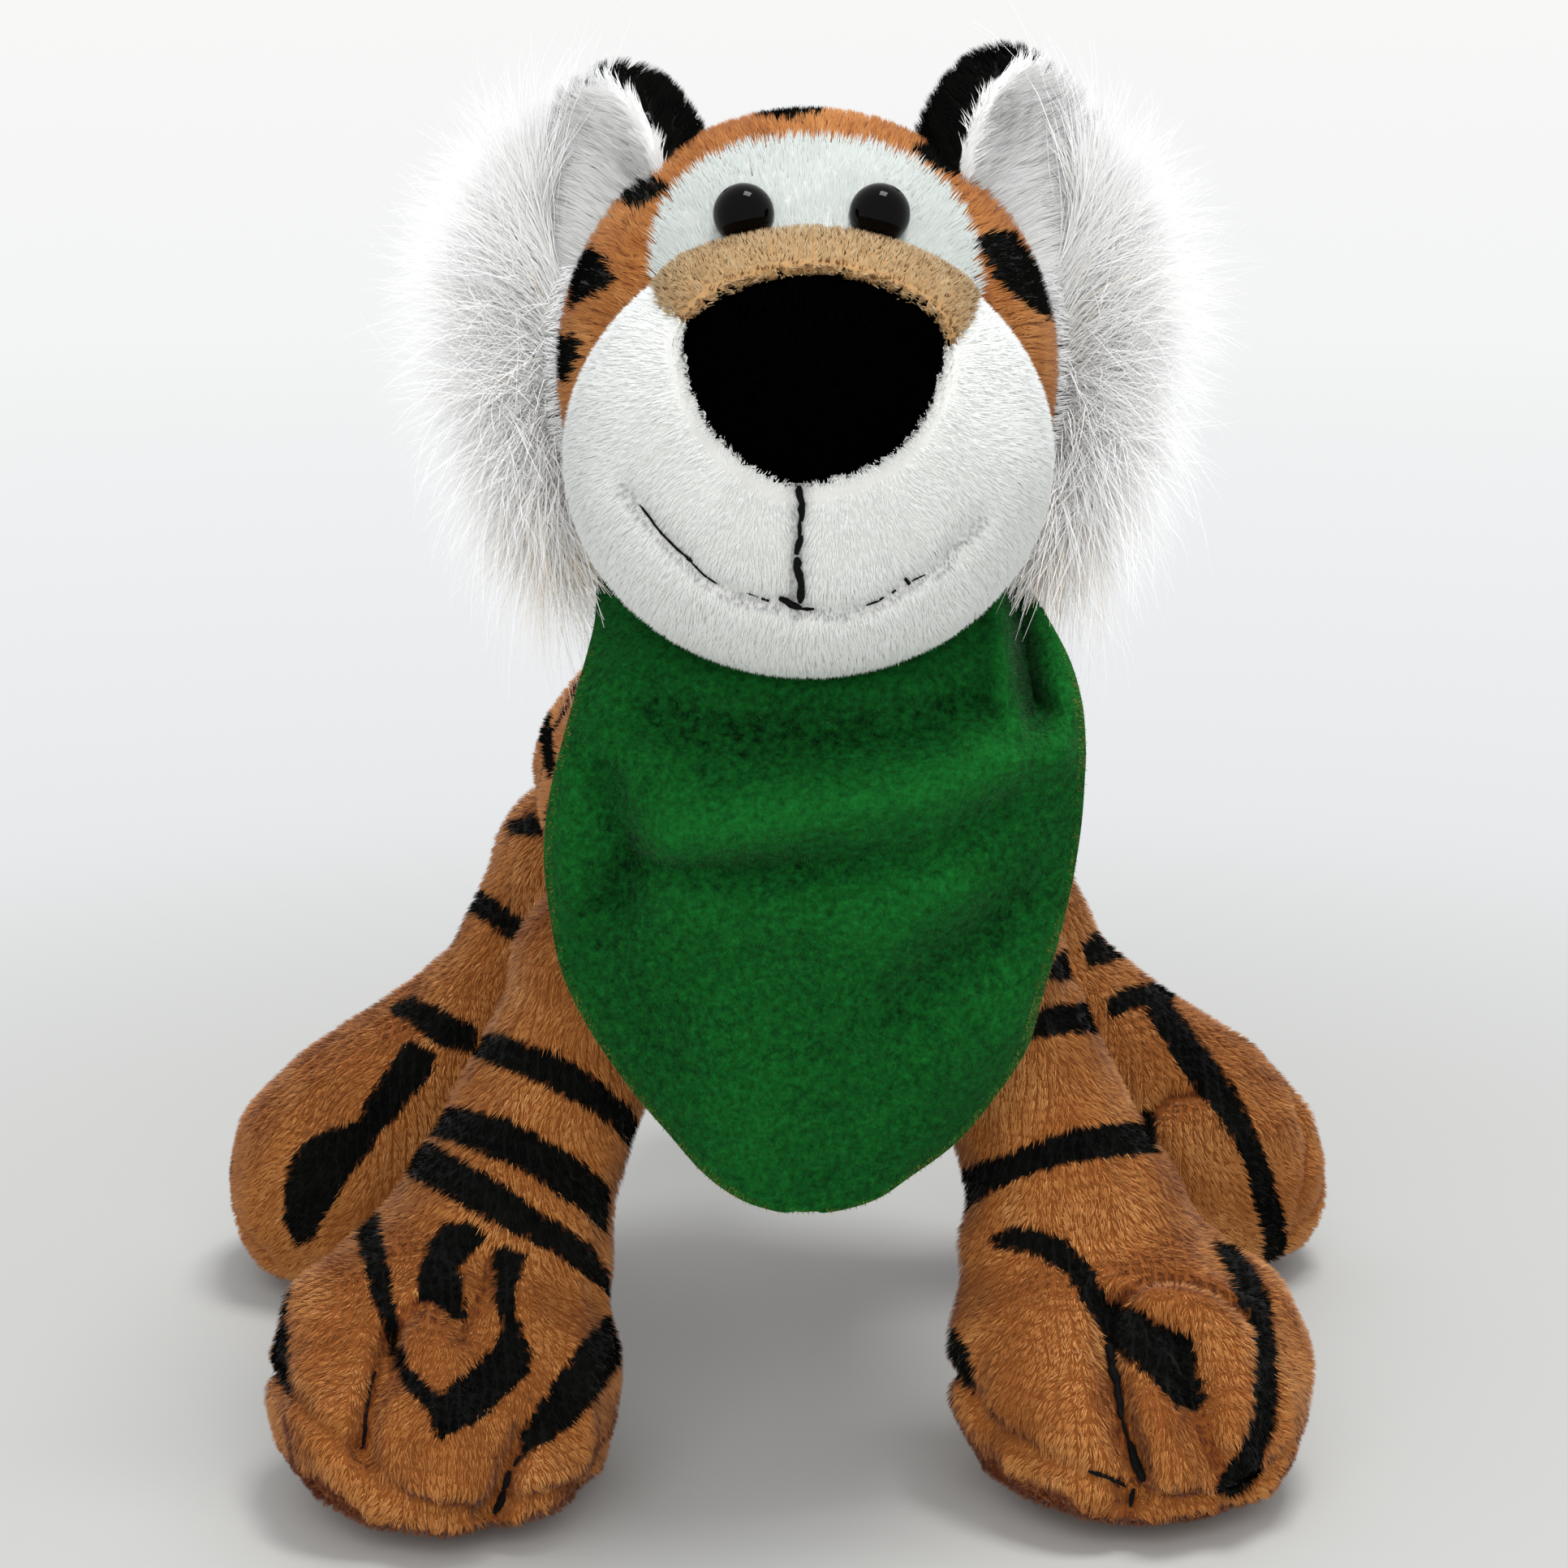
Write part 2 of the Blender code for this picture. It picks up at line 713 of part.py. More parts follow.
def build_ear(side, hand):
    """Two cupped layers, sewn at the rim: black outside, and white in the hollow."""
    forward = ear_frame(side) @ Vector((0.0, -1.0, 0.0))
    rim = ear_centre(side) + forward * ear_rim_forward
    mouth = rod(hand + "_ear_mouth", head, rim, rim + forward * overrun, overrun * 2)
    seat = head_form(hand + "_ear_seat", -seam_gap)
    layers = (
        ("back", black, 0.0, ear_back_thickness),
        ("front", white, ear_back_thickness + seam_gap, ear_front_thickness),
    )
    for layer, colour, inset, thickness in layers:
        name = hand + "_ear_" + layer
        form = ear_form(name, side, inset)
        cut(form, ear_form(name + "_hollow", side, inset + thickness), mouth, seat)
        piece(form, name, colour)


def build_mane(side, hand):
    """A strip of long white pile sewn into the side seam of the head, below the ear."""
    centre = head_centre + Vector((head_half_width * side, mane_setback, mane_rise))
    halves = (mane_reach, mane_half_depth, mane_half_height)
    lean = Matrix.Rotation(math.radians(-mane_lean_degrees) * side, 3, "Y")
    form = ellipsoid(hand + "_mane", head, centre, halves, core_segments, core_rings, lean)
    cut(form, head_form(hand + "_mane_seat", -seam_gap))
    cut(form, ear_form(hand + "_mane_top", side, -seam_gap))
    piece(form, hand + "_mane", white)


def on_muzzle(x, z, lift):
    """The point of the muzzle's outer face at a place seen from the front, lifted off it."""
    flat = 1.0 - (x / muzzle_half_width) ** 2 - (z / muzzle_half_height) ** 2
    y = -muzzle_half_depth * math.sqrt(flat)
    normal = Vector((x / muzzle_half_width**2, y / muzzle_half_depth**2, z / muzzle_half_height**2))
    return muzzle_centre + Vector((x, y, z)) + normal.normalized() * lift


def thread(name, parent, points, colour=black):
    """A sewn thread: a tube through the points, made a mesh with its caps welded."""
    curve = bpy.data.curves.new(name, "CURVE")
    curve.dimensions = "3D"
    curve.bevel_depth = thread_radius
    curve.bevel_resolution = 1
    curve.use_fill_caps = True
    line = curve.splines.new("POLY")
    line.points.add(len(points) - 1)
    for target, point in zip(line.points, points):
        target.co = (*point, 1.0)
    shape = bpy.data.objects.new(name + "_line", curve)
    cutters.objects.link(shape)
    bpy.context.view_layer.update()
    graph = bpy.context.evaluated_depsgraph_get()
    bm = bmesh.new()
    bm.from_mesh(bpy.data.meshes.new_from_object(shape.evaluated_get(graph)))
    bmesh.ops.remove_doubles(bm, verts=bm.verts, dist=thread_radius / 10)
    bpy.data.objects.remove(shape, do_unlink=True)
    return piece(keep(bm, name, parent), name, colour)


def build_mouth():
    """The line down from the nose, and the smile's two arms that start beside its foot."""
    lift = thread_radius + seam_gap
    top = nose_rise - nose_half_height - thread_radius * 2
    steps = np.linspace(0.0, 1.0, thread_points)
    foot = top - mouth_line_length
    thread("mouth_line", head, [on_muzzle(0.0, top + (foot - top) * t, lift) for t in steps])
    for hand, side in hands:
        start = thread_radius * 2 + seam_gap
        arm = [
            on_muzzle(side * (start + smile_reach * t), foot + smile_rise * t**2, lift)
            for t in steps
        ]
        thread(hand + "_smile", head, arm)


def leg_sections(front, side, inset):
    centre, _, paw, ankle, full = leg_sizes(front)
    drop = centre.z + sole_press
    rows = []
    for share, x_share, y_share, width_share, depth_share in (front_leg_shares if front else hind_leg_shares):
        x = centre.x + (paw.x - centre.x) * x_share
        y = centre.y + (paw.y - centre.y) * y_share
        width = max(ankle[0] + (full[0] - ankle[0]) * width_share, 0.0)
        depth = max(ankle[1] + (full[1] - ankle[1]) * depth_share, 0.0)
        rows.append((drop * share - centre.z, x * side, y, width, depth))
    rows = smoothed(rows, leg_rings * 2)
    rows[:, 3:] = np.maximum(rows[:, 3:], 0.0)
    rows[[0, -1], 3:] = 0.0
    return shrunk(rows, inset)


def leg_form(name, front, side, inset, segments=leg_segments, rings=leg_rings):
    centre, radius = leg_sizes(front)[:2]
    form = stuffed(name, origin, leg_sections(front, side, inset), "Z", segments, rings)
    join(form, ball(name + "_ball", origin, mirrored(centre, side), radius - inset))
    return form


def build_leg(name, front, side):
    """A stuffed leg with its paw, and the sole that closes it underneath."""
    centre, radius, paw = leg_sizes(front)[:3]
    pivot = mirrored(centre, side)
    paw = mirrored(paw, side)
    inner = leg_form(name + "_inside", front, side, plush_thickness, core_segments, leg_rings)
    tilt = Matrix.Rotation(math.radians(-sole_tilt_degrees) * side, 3, "Y")
    low = paw - Vector((overrun * 4, overrun * 4, overrun * 4))
    high = paw + Vector((overrun * 4, overrun * 4, sole_height + seam_gap / 2))
    about = paw + Vector((0.0, 0.0, sole_height))
    floor = box(name + "_floor", origin, low, paw + Vector((overrun * 4, overrun * 4, 0.0)))
    sole_side = box(name + "_sole_side", origin, low, high, tilt, about)
    low.z = sole_height - seam_gap / 2
    high.z = sole_height + overrun * 6
    leg_side = box(name + "_leg_side", origin, low, high, tilt, about)

    skin = leg_form(name + "_leg_skin", front, side, 0.0)
    to_torso = Vector((0.0, torso_centre_y, torso_centre_z)) - pivot
    to_torso.y = 0.0
    mouth = pivot + to_torso.normalized() * (radius + overrun)
    cut(skin, inner, rod(name + "_opening", origin, pivot, mouth, leg_opening_radius), sole_side)
    piece(skin, name + "_leg_skin", brown)

    sole = leg_form(name + "_sole", front, side, 0.0)
    cut(sole, inner, leg_side, floor)
    piece(sole, name + "_sole", dark_brown)

    inset = plush_thickness + joint_gap
    filling = leg_form(name + "_leg_filling", front, side, inset, core_segments, leg_rings)
    piece(filling, name + "_leg_filling", cream)


def build_toe_stitches(name, front, side):
    """Threads pulled tight down the front of a paw, one each side of its middle toe."""
    rows = leg_sections(front, side, 0.0)
    lift = thread_radius + seam_gap
    for number, way in (("outer", side), ("inner", -side)):
        line = []
        for share in np.linspace(0.0, 1.0, thread_points):
            height = sole_height + joint_gap + toe_line_length * share
            x, y, wide, deep = (np.interp(-height, rows[:, 0], rows[:, i]) for i in range(1, 5))
            offset = toe_spread * way * (1.0 - share / 4)
            reach = math.sqrt(max(1.0 - (offset / (wide + lift)) ** 2, 0.0))
            line.append((x + offset, y - (deep + lift) * reach, height))
        thread(name + "_toe_stitch_" + number, origin, line)


def tail_point(share, radius):
    """The tail's centre line leaves the rump and droops in an arc."""
    droop = math.radians(tail_droop_degrees)
    bend = tail_length / droop
    angle = droop * share
    y = tail_y + bend * math.sin(angle)
    z = tail_z - bend * (1.0 - math.cos(angle))
    return Vector((0.0, y, z)), angle, radius


def tail_form(name, start, end, inset, segments=tail_segments, rings=tail_rings):
    """A length of the tail, round at a closed end, between two shares of its line."""
    bm = bmesh.new()
    bmesh.ops.create_uvsphere(bm, u_segments=segments, v_segments=rings, radius=1.0)
    for vert in bm.verts:
        share = start + (end - start) * (1.0 - vert.co.z) / 2.0
        swell = 1.0 + tail_swell_share * math.sin(math.pi * share) ** 2
        middle, angle, radius = tail_point(share, tail_radius * swell - inset)
        near = min(share - start, end - share) * tail_length / max(radius, seam_gap)
        radius *= math.sqrt(max(1.0 - max(1.0 - near, 0.0) ** 2, 0.0))
        ring = math.hypot(vert.co.x, vert.co.y) or 1.0
        across, up = radius * vert.co.x / ring, radius * vert.co.y / ring
        vert.co = middle + Vector((across, up * math.sin(angle), up * math.cos(angle)))
    return keep(bm, name, origin)


def tail_ball(name, inset):
    base = (0.0, tail_y, tail_z)
    return ball(name, origin, base, tail_ball_radius - inset, tail_segments, tail_rings - 2)


def build_tail():
    split = 1.0 - tail_tip_share
    at_split, angle, _ = tail_point(split, tail_radius)
    along = Vector((0.0, math.cos(angle), -math.sin(angle)))
    near, far = along * seam_gap / 2, along * tail_length
    past = rod("tail_past_split", origin, at_split - near, at_split + far, tail_length)
    before = rod("tail_before_split", origin, at_split - far, at_split + near, tail_length)
    base = Vector((0.0, tail_y, tail_z))
    inside = tail_form("tail_inside", 0.0, 1.0 - plush_thickness / tail_length, plush_thickness)
    join(inside, tail_ball("tail_inside_ball", plush_thickness))
    skin = join(tail_form("tail_skin", 0.0, 1.0, 0.0), tail_ball("tail_ball", 0.0))
    opening = rod("tail_opening", origin, base, base - Vector((0.0, overrun, 0.0)), tail_opening_radius)
    cut(skin, inside, past, opening)
    piece(skin, "tail_skin", brown)
    tip = cut(tail_form("tail_tip", 0.0, 1.0, 0.0), inside, before)
    piece(tip, "tail_tip", black)
    inset = plush_thickness + seam_gap
    filling = tail_form("tail_filling", 0.0, 1.0 - inset / tail_length, inset)
    join(filling, tail_ball("tail_filling_ball", inset))
    piece(filling, "tail_filling", cream)


def drape(x, z):
    """How far forward the neckerchief hangs: curved round the chest, with soft folds across."""
    across = abs(x) / flap_half_width
    down = (flap_top_z - z) / flap_length
    wave = math.cos(math.tau * (down * fold_count + across * fold_slant)) * (1.0 - across**2)
    return flap_front_y + flap_curve * across**2 - fold_depth * fold_growth * wave * down


def sheet(bm, name, parent):
    """A felt sheet as thick as the felt, from an open surface."""
    made = keep(bm, name, parent)
    step = made.modifiers.new("felt", "SOLIDIFY")
    step.thickness = felt_thickness
    step.offset = 0.0
    step.use_even_offset = True
    return piece(made, name, green)


def build_flap():
    """The part of the neckerchief that hangs free from its fold over the chest."""
    rows = np.array(flap_shares)
    bm = bmesh.new()
    bmesh.ops.create_grid(bm, x_segments=flap_columns, y_segments=flap_rows, size=1.0)
    for vert in bm.verts:
        down = (1.0 - vert.co.y) / 2.0
        down = math.sin(down * math.pi / 2.0)
        x = flap_half_width * vert.co.x * np.interp(down, rows[:, 0], rows[:, 1])
        z = flap_top_z - felt_thickness - flap_length * down
        vert.co = (neck_x + x, drape(x, z), z)
    return sheet(bm, "neckerchief_flap", origin)


def collar_edges(angle):
    """The collar's upper and lower edge at an angle round the neck, zero at the front."""
    forward, sideways = math.cos(angle), math.sin(angle)
    drop = collar_front_drop * max(forward, 0.0) + collar_back_drop * max(-forward, 0.0)
    x = neck_x + collar_half_width * sideways
    top = Vector((x, neck_y - collar_half_depth * forward, collar_side_z - drop))
    out = Vector((sideways, -forward, 0.0)) * collar_band_flare
    band = top + out - Vector((0.0, 0.0, collar_band_height))
    front, back = math.radians(collar_front_degrees), math.radians(collar_back_degrees)
    past = (abs(angle) - front) / (back - front)
    reach = 1.0 - max(min(past, 1.0), 0.0)
    reach = reach * reach * (3.0 - 2.0 * reach)
    x = flap_half_width * max(min(angle / front, 1.0), -1.0)
    hem = Vector((neck_x + x, drape(x, flap_top_z), flap_top_z))
    return top, band.lerp(hem, reach)


def build_collar():
    """The part of the neckerchief that goes round the neck and over the chest."""
    bm = bmesh.new()
    bmesh.ops.create_grid(bm, x_segments=collar_columns, y_segments=collar_rows, size=1.0)
    for vert in bm.verts:
        top, low = collar_edges(math.pi * vert.co.x)
        share = (1.0 - vert.co.y) / 2.0
        bow = math.sin(math.pi * share) * (low - top).length * collar_bow_share
        way = Vector((low.x - top.x, low.y - top.y, 0.0))
        lift = way.normalized() * bow + Vector((0.0, 0.0, bow))
        vert.co = top.lerp(low, share) + lift
    bmesh.ops.remove_doubles(bm, verts=bm.verts, dist=seam_gap / 10)
    collar = sheet(bm, "neckerchief_collar", origin)
    cut(collar, torso_form("collar_seat", -seam_gap))


build_torso()
build_neck()
build_head()
build_muzzle()
build_mouth()
for hand, side in hands:
    build_ear(side, hand)
    build_mane(side, hand)
for name, front, side in legs:
    build_leg(name, front, side)
    if front:
        build_toe_stitches(name, front, side)
build_tail()
build_collar()
build_flap()
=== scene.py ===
# %% [markdown]
# # A stuffed tiger with a felt neckerchief
#
# This lesson dresses a set of plain solids as a real soft toy. The solids already have the right
# sizes and places, and they move on joints, so every piece made here sits where its solid sits and,
# but for the neckerchief and its nap, rides on the same body. The work goes in the order of a toy
# maker: stuff the limbs, pull the stitches tight, dye the cloth, grow the pile, then add eyes,
# thread and the neckerchief.

# %% Load the solids
import math

import bmesh
import bpy
import numpy as np
from mathutils import Matrix, Vector
from mathutils.bvhtree import BVHTree
from mathutils.kdtree import KDTree


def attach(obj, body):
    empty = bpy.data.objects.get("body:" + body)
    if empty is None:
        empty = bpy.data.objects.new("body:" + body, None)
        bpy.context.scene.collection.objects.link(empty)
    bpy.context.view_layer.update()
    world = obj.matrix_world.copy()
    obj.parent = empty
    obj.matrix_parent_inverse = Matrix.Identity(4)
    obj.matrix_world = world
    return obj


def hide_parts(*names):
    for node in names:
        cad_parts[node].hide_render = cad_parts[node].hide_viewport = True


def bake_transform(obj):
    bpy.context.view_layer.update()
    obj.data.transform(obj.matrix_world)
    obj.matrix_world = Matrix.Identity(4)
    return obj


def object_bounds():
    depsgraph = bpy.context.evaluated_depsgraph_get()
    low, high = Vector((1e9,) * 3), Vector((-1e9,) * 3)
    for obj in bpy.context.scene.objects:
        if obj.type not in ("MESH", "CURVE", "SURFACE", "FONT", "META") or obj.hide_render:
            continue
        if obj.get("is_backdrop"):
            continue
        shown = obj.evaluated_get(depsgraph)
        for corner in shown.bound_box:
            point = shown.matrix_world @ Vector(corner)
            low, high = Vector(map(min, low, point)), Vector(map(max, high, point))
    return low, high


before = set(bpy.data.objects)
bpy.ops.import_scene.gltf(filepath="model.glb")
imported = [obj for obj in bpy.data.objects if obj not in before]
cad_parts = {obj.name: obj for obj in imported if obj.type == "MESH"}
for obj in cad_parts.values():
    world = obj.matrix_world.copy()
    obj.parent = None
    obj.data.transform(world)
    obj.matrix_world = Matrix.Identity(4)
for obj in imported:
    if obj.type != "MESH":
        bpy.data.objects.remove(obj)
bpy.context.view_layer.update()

# %% [markdown]
# ## The camera
#
# The toy was photographed from about 60 cm with a long lens, a little above its head and looking
# down by 14 degrees. The camera comes first, because the stripes and stitches below are traced
# through it: a place in the picture becomes a ray, and the ray lands on the cloth.

# %% Camera
camera_place = Vector((-0.0150, -0.5823, 0.2290))
turn, pitch = math.radians(1.5), math.radians(14.0)
focal_pixels, frame_pixels = 5225.0, 1932.0
forward = Vector(
    (math.sin(turn) * math.cos(pitch), math.cos(turn) * math.cos(pitch), -math.sin(pitch))
)
rightward = Vector((math.cos(turn), -math.sin(turn), 0.0))
upward = rightward.cross(forward)

lens = bpy.data.cameras.new("camera")
lens.sensor_width = 36.0
lens.lens = 36.0 * focal_pixels / frame_pixels
lens.clip_start, lens.clip_end = 0.01, 20.0
camera = bpy.data.objects.new("camera", lens)
bpy.context.scene.collection.objects.link(camera)
axes = Matrix((rightward, upward, -forward)).transposed()
camera.matrix_world = Matrix.Translation(camera_place) @ axes.to_4x4()
bpy.context.scene.camera = camera
print("lens in mm:", round(lens.lens, 1))

# %% Picture to space and back
def pixels(points):
    """Where points of space show in the picture."""
    away = np.asarray(points, float) - np.array(camera_place)
    depth = away @ np.array(forward)
    x = frame_pixels / 2 + focal_pixels * (away @ np.array(rightward)) / depth
    y = frame_pixels / 2 - focal_pixels * (away @ np.array(upward)) / depth
    return x, y


def ray(x, y):
    """The direction in which a place of the picture is seen."""
    across = (x - frame_pixels / 2) / focal_pixels
    down = (y - frame_pixels / 2) / focal_pixels
    return (forward + rightward * across - upward * down).normalized()


def pairs(numbers):
    """Picture places from a plain row of numbers: x, y, x, y and so on."""
    return list(zip(numbers[::2], numbers[1::2]))


def inside(outline, x, y):
    """Which picture places lie inside an outline."""
    found = np.zeros(len(x), bool)
    ends = pairs(outline)
    for (ax, ay), (bx, by) in zip(ends, ends[1:] + ends[:1]):
        crosses = (ay > y) != (by > y)
        level = ax + (y - ay) * (bx - ax) / ((by - ay) or 1e-9)
        found ^= crosses & (x < level)
    return found


def line_distance(line, x, y, closed=True):
    """How far picture places lie from an outline or, where it isn't closed, a line, in pixels."""
    near = np.full(len(x), 1e9)
    ends = pairs(line)
    for (ax, ay), (bx, by) in zip(ends, ends[1:] + ends[:1] if closed else ends[1:]):
        span = max((bx - ax) ** 2 + (by - ay) ** 2, 1e-9)
        along = np.clip(((x - ax) * (bx - ax) + (y - ay) * (by - ay)) / span, 0.0, 1.0)
        near = np.minimum(near, np.hypot(x - ax - along * (bx - ax), y - ay - along * (by - ay)))
    return near


def unit(vectors):
    """Each vector at a length of 1."""
    return vectors / np.maximum(np.linalg.norm(vectors, axis=1), 1e-12)[:, None]


def dots(first, second):
    """The dot product of each pair of vectors."""
    return np.einsum("ij,ij->i", first, second)


def toward_camera(points):
    """The direction from each point to the camera."""
    return unit(np.array(camera_place) - points)


print("the frame's middle looks along", [round(v, 3) for v in ray(966, 966)])

# %% [markdown]
# ## Stuffed shapes
#
# A limb of the toy is a bag of cloth pulled round by its filling. Each one starts as a copy of its
# solids. A voxel remesh melts skin and filling into one even skin, which a smoothing modifier
# relaxes as stuffing does, and then the surface is drawn in by the depth of the pile, because the
# tips of the pile, not the backing cloth, reach the toy's outline.

# %% Helpers for shaping
def deselect():
    for thing in list(bpy.context.selected_objects):
        thing.select_set(False)


def choose(obj):
    deselect()
    obj.select_set(True)
    bpy.context.view_layer.objects.active = obj
    return obj


def apply_all(obj):
    choose(obj)
    for modifier in list(obj.modifiers):
        bpy.ops.object.modifier_apply(modifier=modifier.name)
    return obj


def add_object(name, data):
    """Puts a new object made from a mesh, a curve or a lamp in the scene."""
    made = bpy.data.objects.new(name, data)
    bpy.context.scene.collection.objects.link(made)
    return made


def edit_all():
    """Goes into edit mode with the whole mesh selected."""
    bpy.ops.object.mode_set(mode="EDIT")
    bpy.ops.mesh.select_all(action="SELECT")


def end_edit():
    bpy.ops.object.mode_set(mode="OBJECT")


def join(things):
    """Joins objects into the last one."""
    deselect()
    for thing in things:
        thing.select_set(True)
    bpy.context.view_layer.objects.active = things[-1]
    bpy.ops.object.join()
    return bpy.context.object


def copy_of(name, nodes):
    """One mesh from copies of the solids, with their loose triangles merged."""
    twins = [add_object(name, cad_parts[node].data.copy()) for node in nodes]
    for twin in twins:
        twin.data.materials.clear()
    made = join(twins)
    edit_all()
    bpy.ops.mesh.remove_doubles(threshold=0.00001)
    end_edit()
    made.name = made.data.name = name
    return made


def relax(obj, rounds):
    """Evens a surface out, as the stuffing does."""
    smooth = obj.modifiers.new("relax", "SMOOTH")
    smooth.factor, smooth.iterations = 0.5, rounds
    return apply_all(obj)


def stuff(obj, voxel, rounds, inset):
    """Remeshes to one even skin, keeps its outer layer, relaxes it and draws it in."""
    choose(obj)
    obj.data.remesh_voxel_size = voxel
    bpy.ops.object.voxel_remesh()
    edit_all()
    bpy.ops.mesh.separate(type="LOOSE")
    end_edit()
    layers = sorted(bpy.context.selected_objects, key=lambda thing: len(thing.data.vertices))
    name = obj.name
    outer = layers.pop()
    for layer in layers:
        bpy.data.objects.remove(layer, do_unlink=True)
    outer.name = outer.data.name = name
    relax(outer, rounds)
    edit_all()
    bpy.ops.transform.shrink_fatten(value=-inset)
    end_edit()
    outer.data.shade_smooth()
    return outer


def rows_of(items, value, kind=float):
    """A three-part value of every vertex or triangle, as rows."""
    found = np.empty(len(items) * 3, kind)
    items.foreach_get(value, found)
    return found.reshape(-1, 3)


def ball(name, segments, rings, radius=1.0):
    deselect()
    bpy.ops.mesh.primitive_uv_sphere_add(segments=segments, ring_count=rings, radius=radius)
    made = bpy.context.object
    made.name = made.data.name = name
    return made


def ordered(obj):
    """Puts a ball's faces in one order, because the operator gives them in another each run."""
    mesh = obj.data
    faces = [list(polygon.vertices) for polygon in mesh.polygons]
    firsts = [face.index(min(face)) for face in faces]
    faces = sorted(face[first:] + face[:first] for face, first in zip(faces, firsts))
    places = rows_of(mesh.vertices, "co").tolist()
    mesh.clear_geometry()
    mesh.from_pydata(places, [], faces)
    return obj


def arrays(obj):
    """Vertex places, vertex normals and triangles of a mesh."""
    mesh = obj.data
    mesh.calc_loop_triangles()
    places, normals = rows_of(mesh.vertices, "co"), rows_of(mesh.vertex_normals, "vector")
    return places, normals, rows_of(mesh.loop_triangles, "vertices", np.int64)


def tree_of(obj):
    places, _, triangles = arrays(obj)
    return BVHTree.FromPolygons(places.tolist(), triangles.tolist())


def landing(tree, x, y):
    """Where a place of the picture lands on a surface."""
    return tree.ray_cast(camera_place, ray(x, y))[0]


def move_to(obj, places):
    obj.data.vertices.foreach_set("co", np.asarray(places, float).ravel())
    obj.data.update()


def waves(points, size, seed):
    """Smooth noise between about -1 and 1, its bumps about the given size across."""
    chance = np.random.default_rng(seed)
    total = np.zeros(len(points))
    for _ in range(6):
        way = chance.normal(size=3)
        way *= math.tau / size / np.linalg.norm(way) * chance.uniform(0.6, 1.4)
        total += np.sin(points @ way + chance.uniform(0, math.tau))
    return total / 2.6

# %% Stuff the body and the limbs
pile_depth = 0.0008
fine_voxel, coarse_voxel = 0.0009, 0.0012
limb_rounds, trunk_rounds = 10, 6
limbs = ("front_right", "front_left", "hind_right", "hind_left")
shells = {
    "torso": copy_of("torso_shell", ["torso_skin", "torso_filling"]),
    "neck": copy_of("neck_shell", ["neck_skin", "neck_filling"]),
    "tail": copy_of("tail_shell", ["tail_skin", "tail_tip", "tail_filling"]),
}
for limb in limbs:
    nodes = [limb + "_leg_skin", limb + "_sole", limb + "_leg_filling"]
    shells[limb] = copy_of(limb + "_leg_shell", nodes)
for part, shell in shells.items():
    voxel = fine_voxel if part in ("tail", "front_left", "front_right") else coarse_voxel
    shells[part] = stuff(shell, voxel, limb_rounds if part in limbs else trunk_rounds, pile_depth)
    print(part, "shell:", len(shells[part].data.polygons), "faces")

# %% [markdown]
# ## The head
#
# The head is two balls: the round skull and the big snout sewn to its front. Both are spheres with
# the sizes of their solids, turned with the face, which looks up at the camera by 14 degrees. The
# remesh joins them and leaves the soft valley where the snout's seam runs.

# %% Head and snout
face_turn = Matrix.Rotation(-turn, 3, "Z") @ Matrix.Rotation(-pitch, 3, "X")
neck_place = Vector((0.0026, -0.0253, 0.1140))
skull_middle, skull_halves = Vector((0.0, -0.0200, 0.0305)), Vector((0.0324, 0.0300, 0.0335))
snout_middle, snout_halves = Vector((0.0, -0.0430, 0.0173)), Vector((0.0308, 0.0265, 0.0277))


def face_place(point):
    """A place given in the face's own directions, in the room's."""
    return neck_place + face_turn @ Vector(point)


def face_own(points):
    """Places of the room, in the face's own directions."""
    return (np.asarray(points, float) - np.array(neck_place)) @ np.array(face_turn)


def ball_share(own, middle, halves):
    """How far out places of the face lie in a ball: 1 is on its surface."""
    return np.linalg.norm((own - np.array(middle)) / np.array(halves), axis=1)


def face_ball(name, middle, halves):
    made = ball(name, 64, 40)
    size = Matrix.Diagonal(halves).to_4x4()
    made.data.transform(Matrix.Translation(face_place(middle)) @ face_turn.to_4x4() @ size)
    return made


skull = face_ball("head_shell", skull_middle, skull_halves)
snout = face_ball("snout_shell", snout_middle, snout_halves)
shells["head"] = stuff(join([snout, skull]), 0.0010, 7, pile_depth)
print("head shell:", len(shells["head"].data.polygons), "faces")

# %% [markdown]
# ## Ears and side tufts
#
# An ear is a soft cushion with a shallow hollow in front, so it starts as a sphere with the
# solids' sizes whose front is pressed in to a bowl. The tuft below it is a strip of long pile and
# starts from its solid, with a fine voxel because it is thin.

# %% Ears and tuft strips
hands = (("right", -1), ("left", 1))
ear_halves = Vector((0.0126, 0.0095, 0.0180))
ear_pile_depth, tuft_pile_depth = 0.0006, 0.0012
bowl_rim, bowl_rise = -0.0050, 0.0026


def ear_axes(side):
    turned = Matrix.Rotation(math.radians(50.0) * side, 3, "Z")
    return face_turn @ Matrix.Rotation(math.radians(10.0) * side, 3, "Y") @ turned


def ear_middle(side):
    """Where an ear is sewn on: the right one sits a little lower and further in."""
    offset = (-0.0224, 0.0010, 0.0213) if side < 0 else (0.0240, 0.0010, 0.0235)
    return face_place(skull_middle + Vector(offset))


def ear_own(side, points):
    """Places of the room, in an ear's own directions: across, back and up."""
    return (points - np.array(ear_middle(side))) @ np.array(ear_axes(side))


def round_share(own):
    """How far out places of an ear lie, seen from its front: 1 is on its rim."""
    return (own[:, 0] / ear_halves.x) ** 2 + (own[:, 2] / ear_halves.z) ** 2


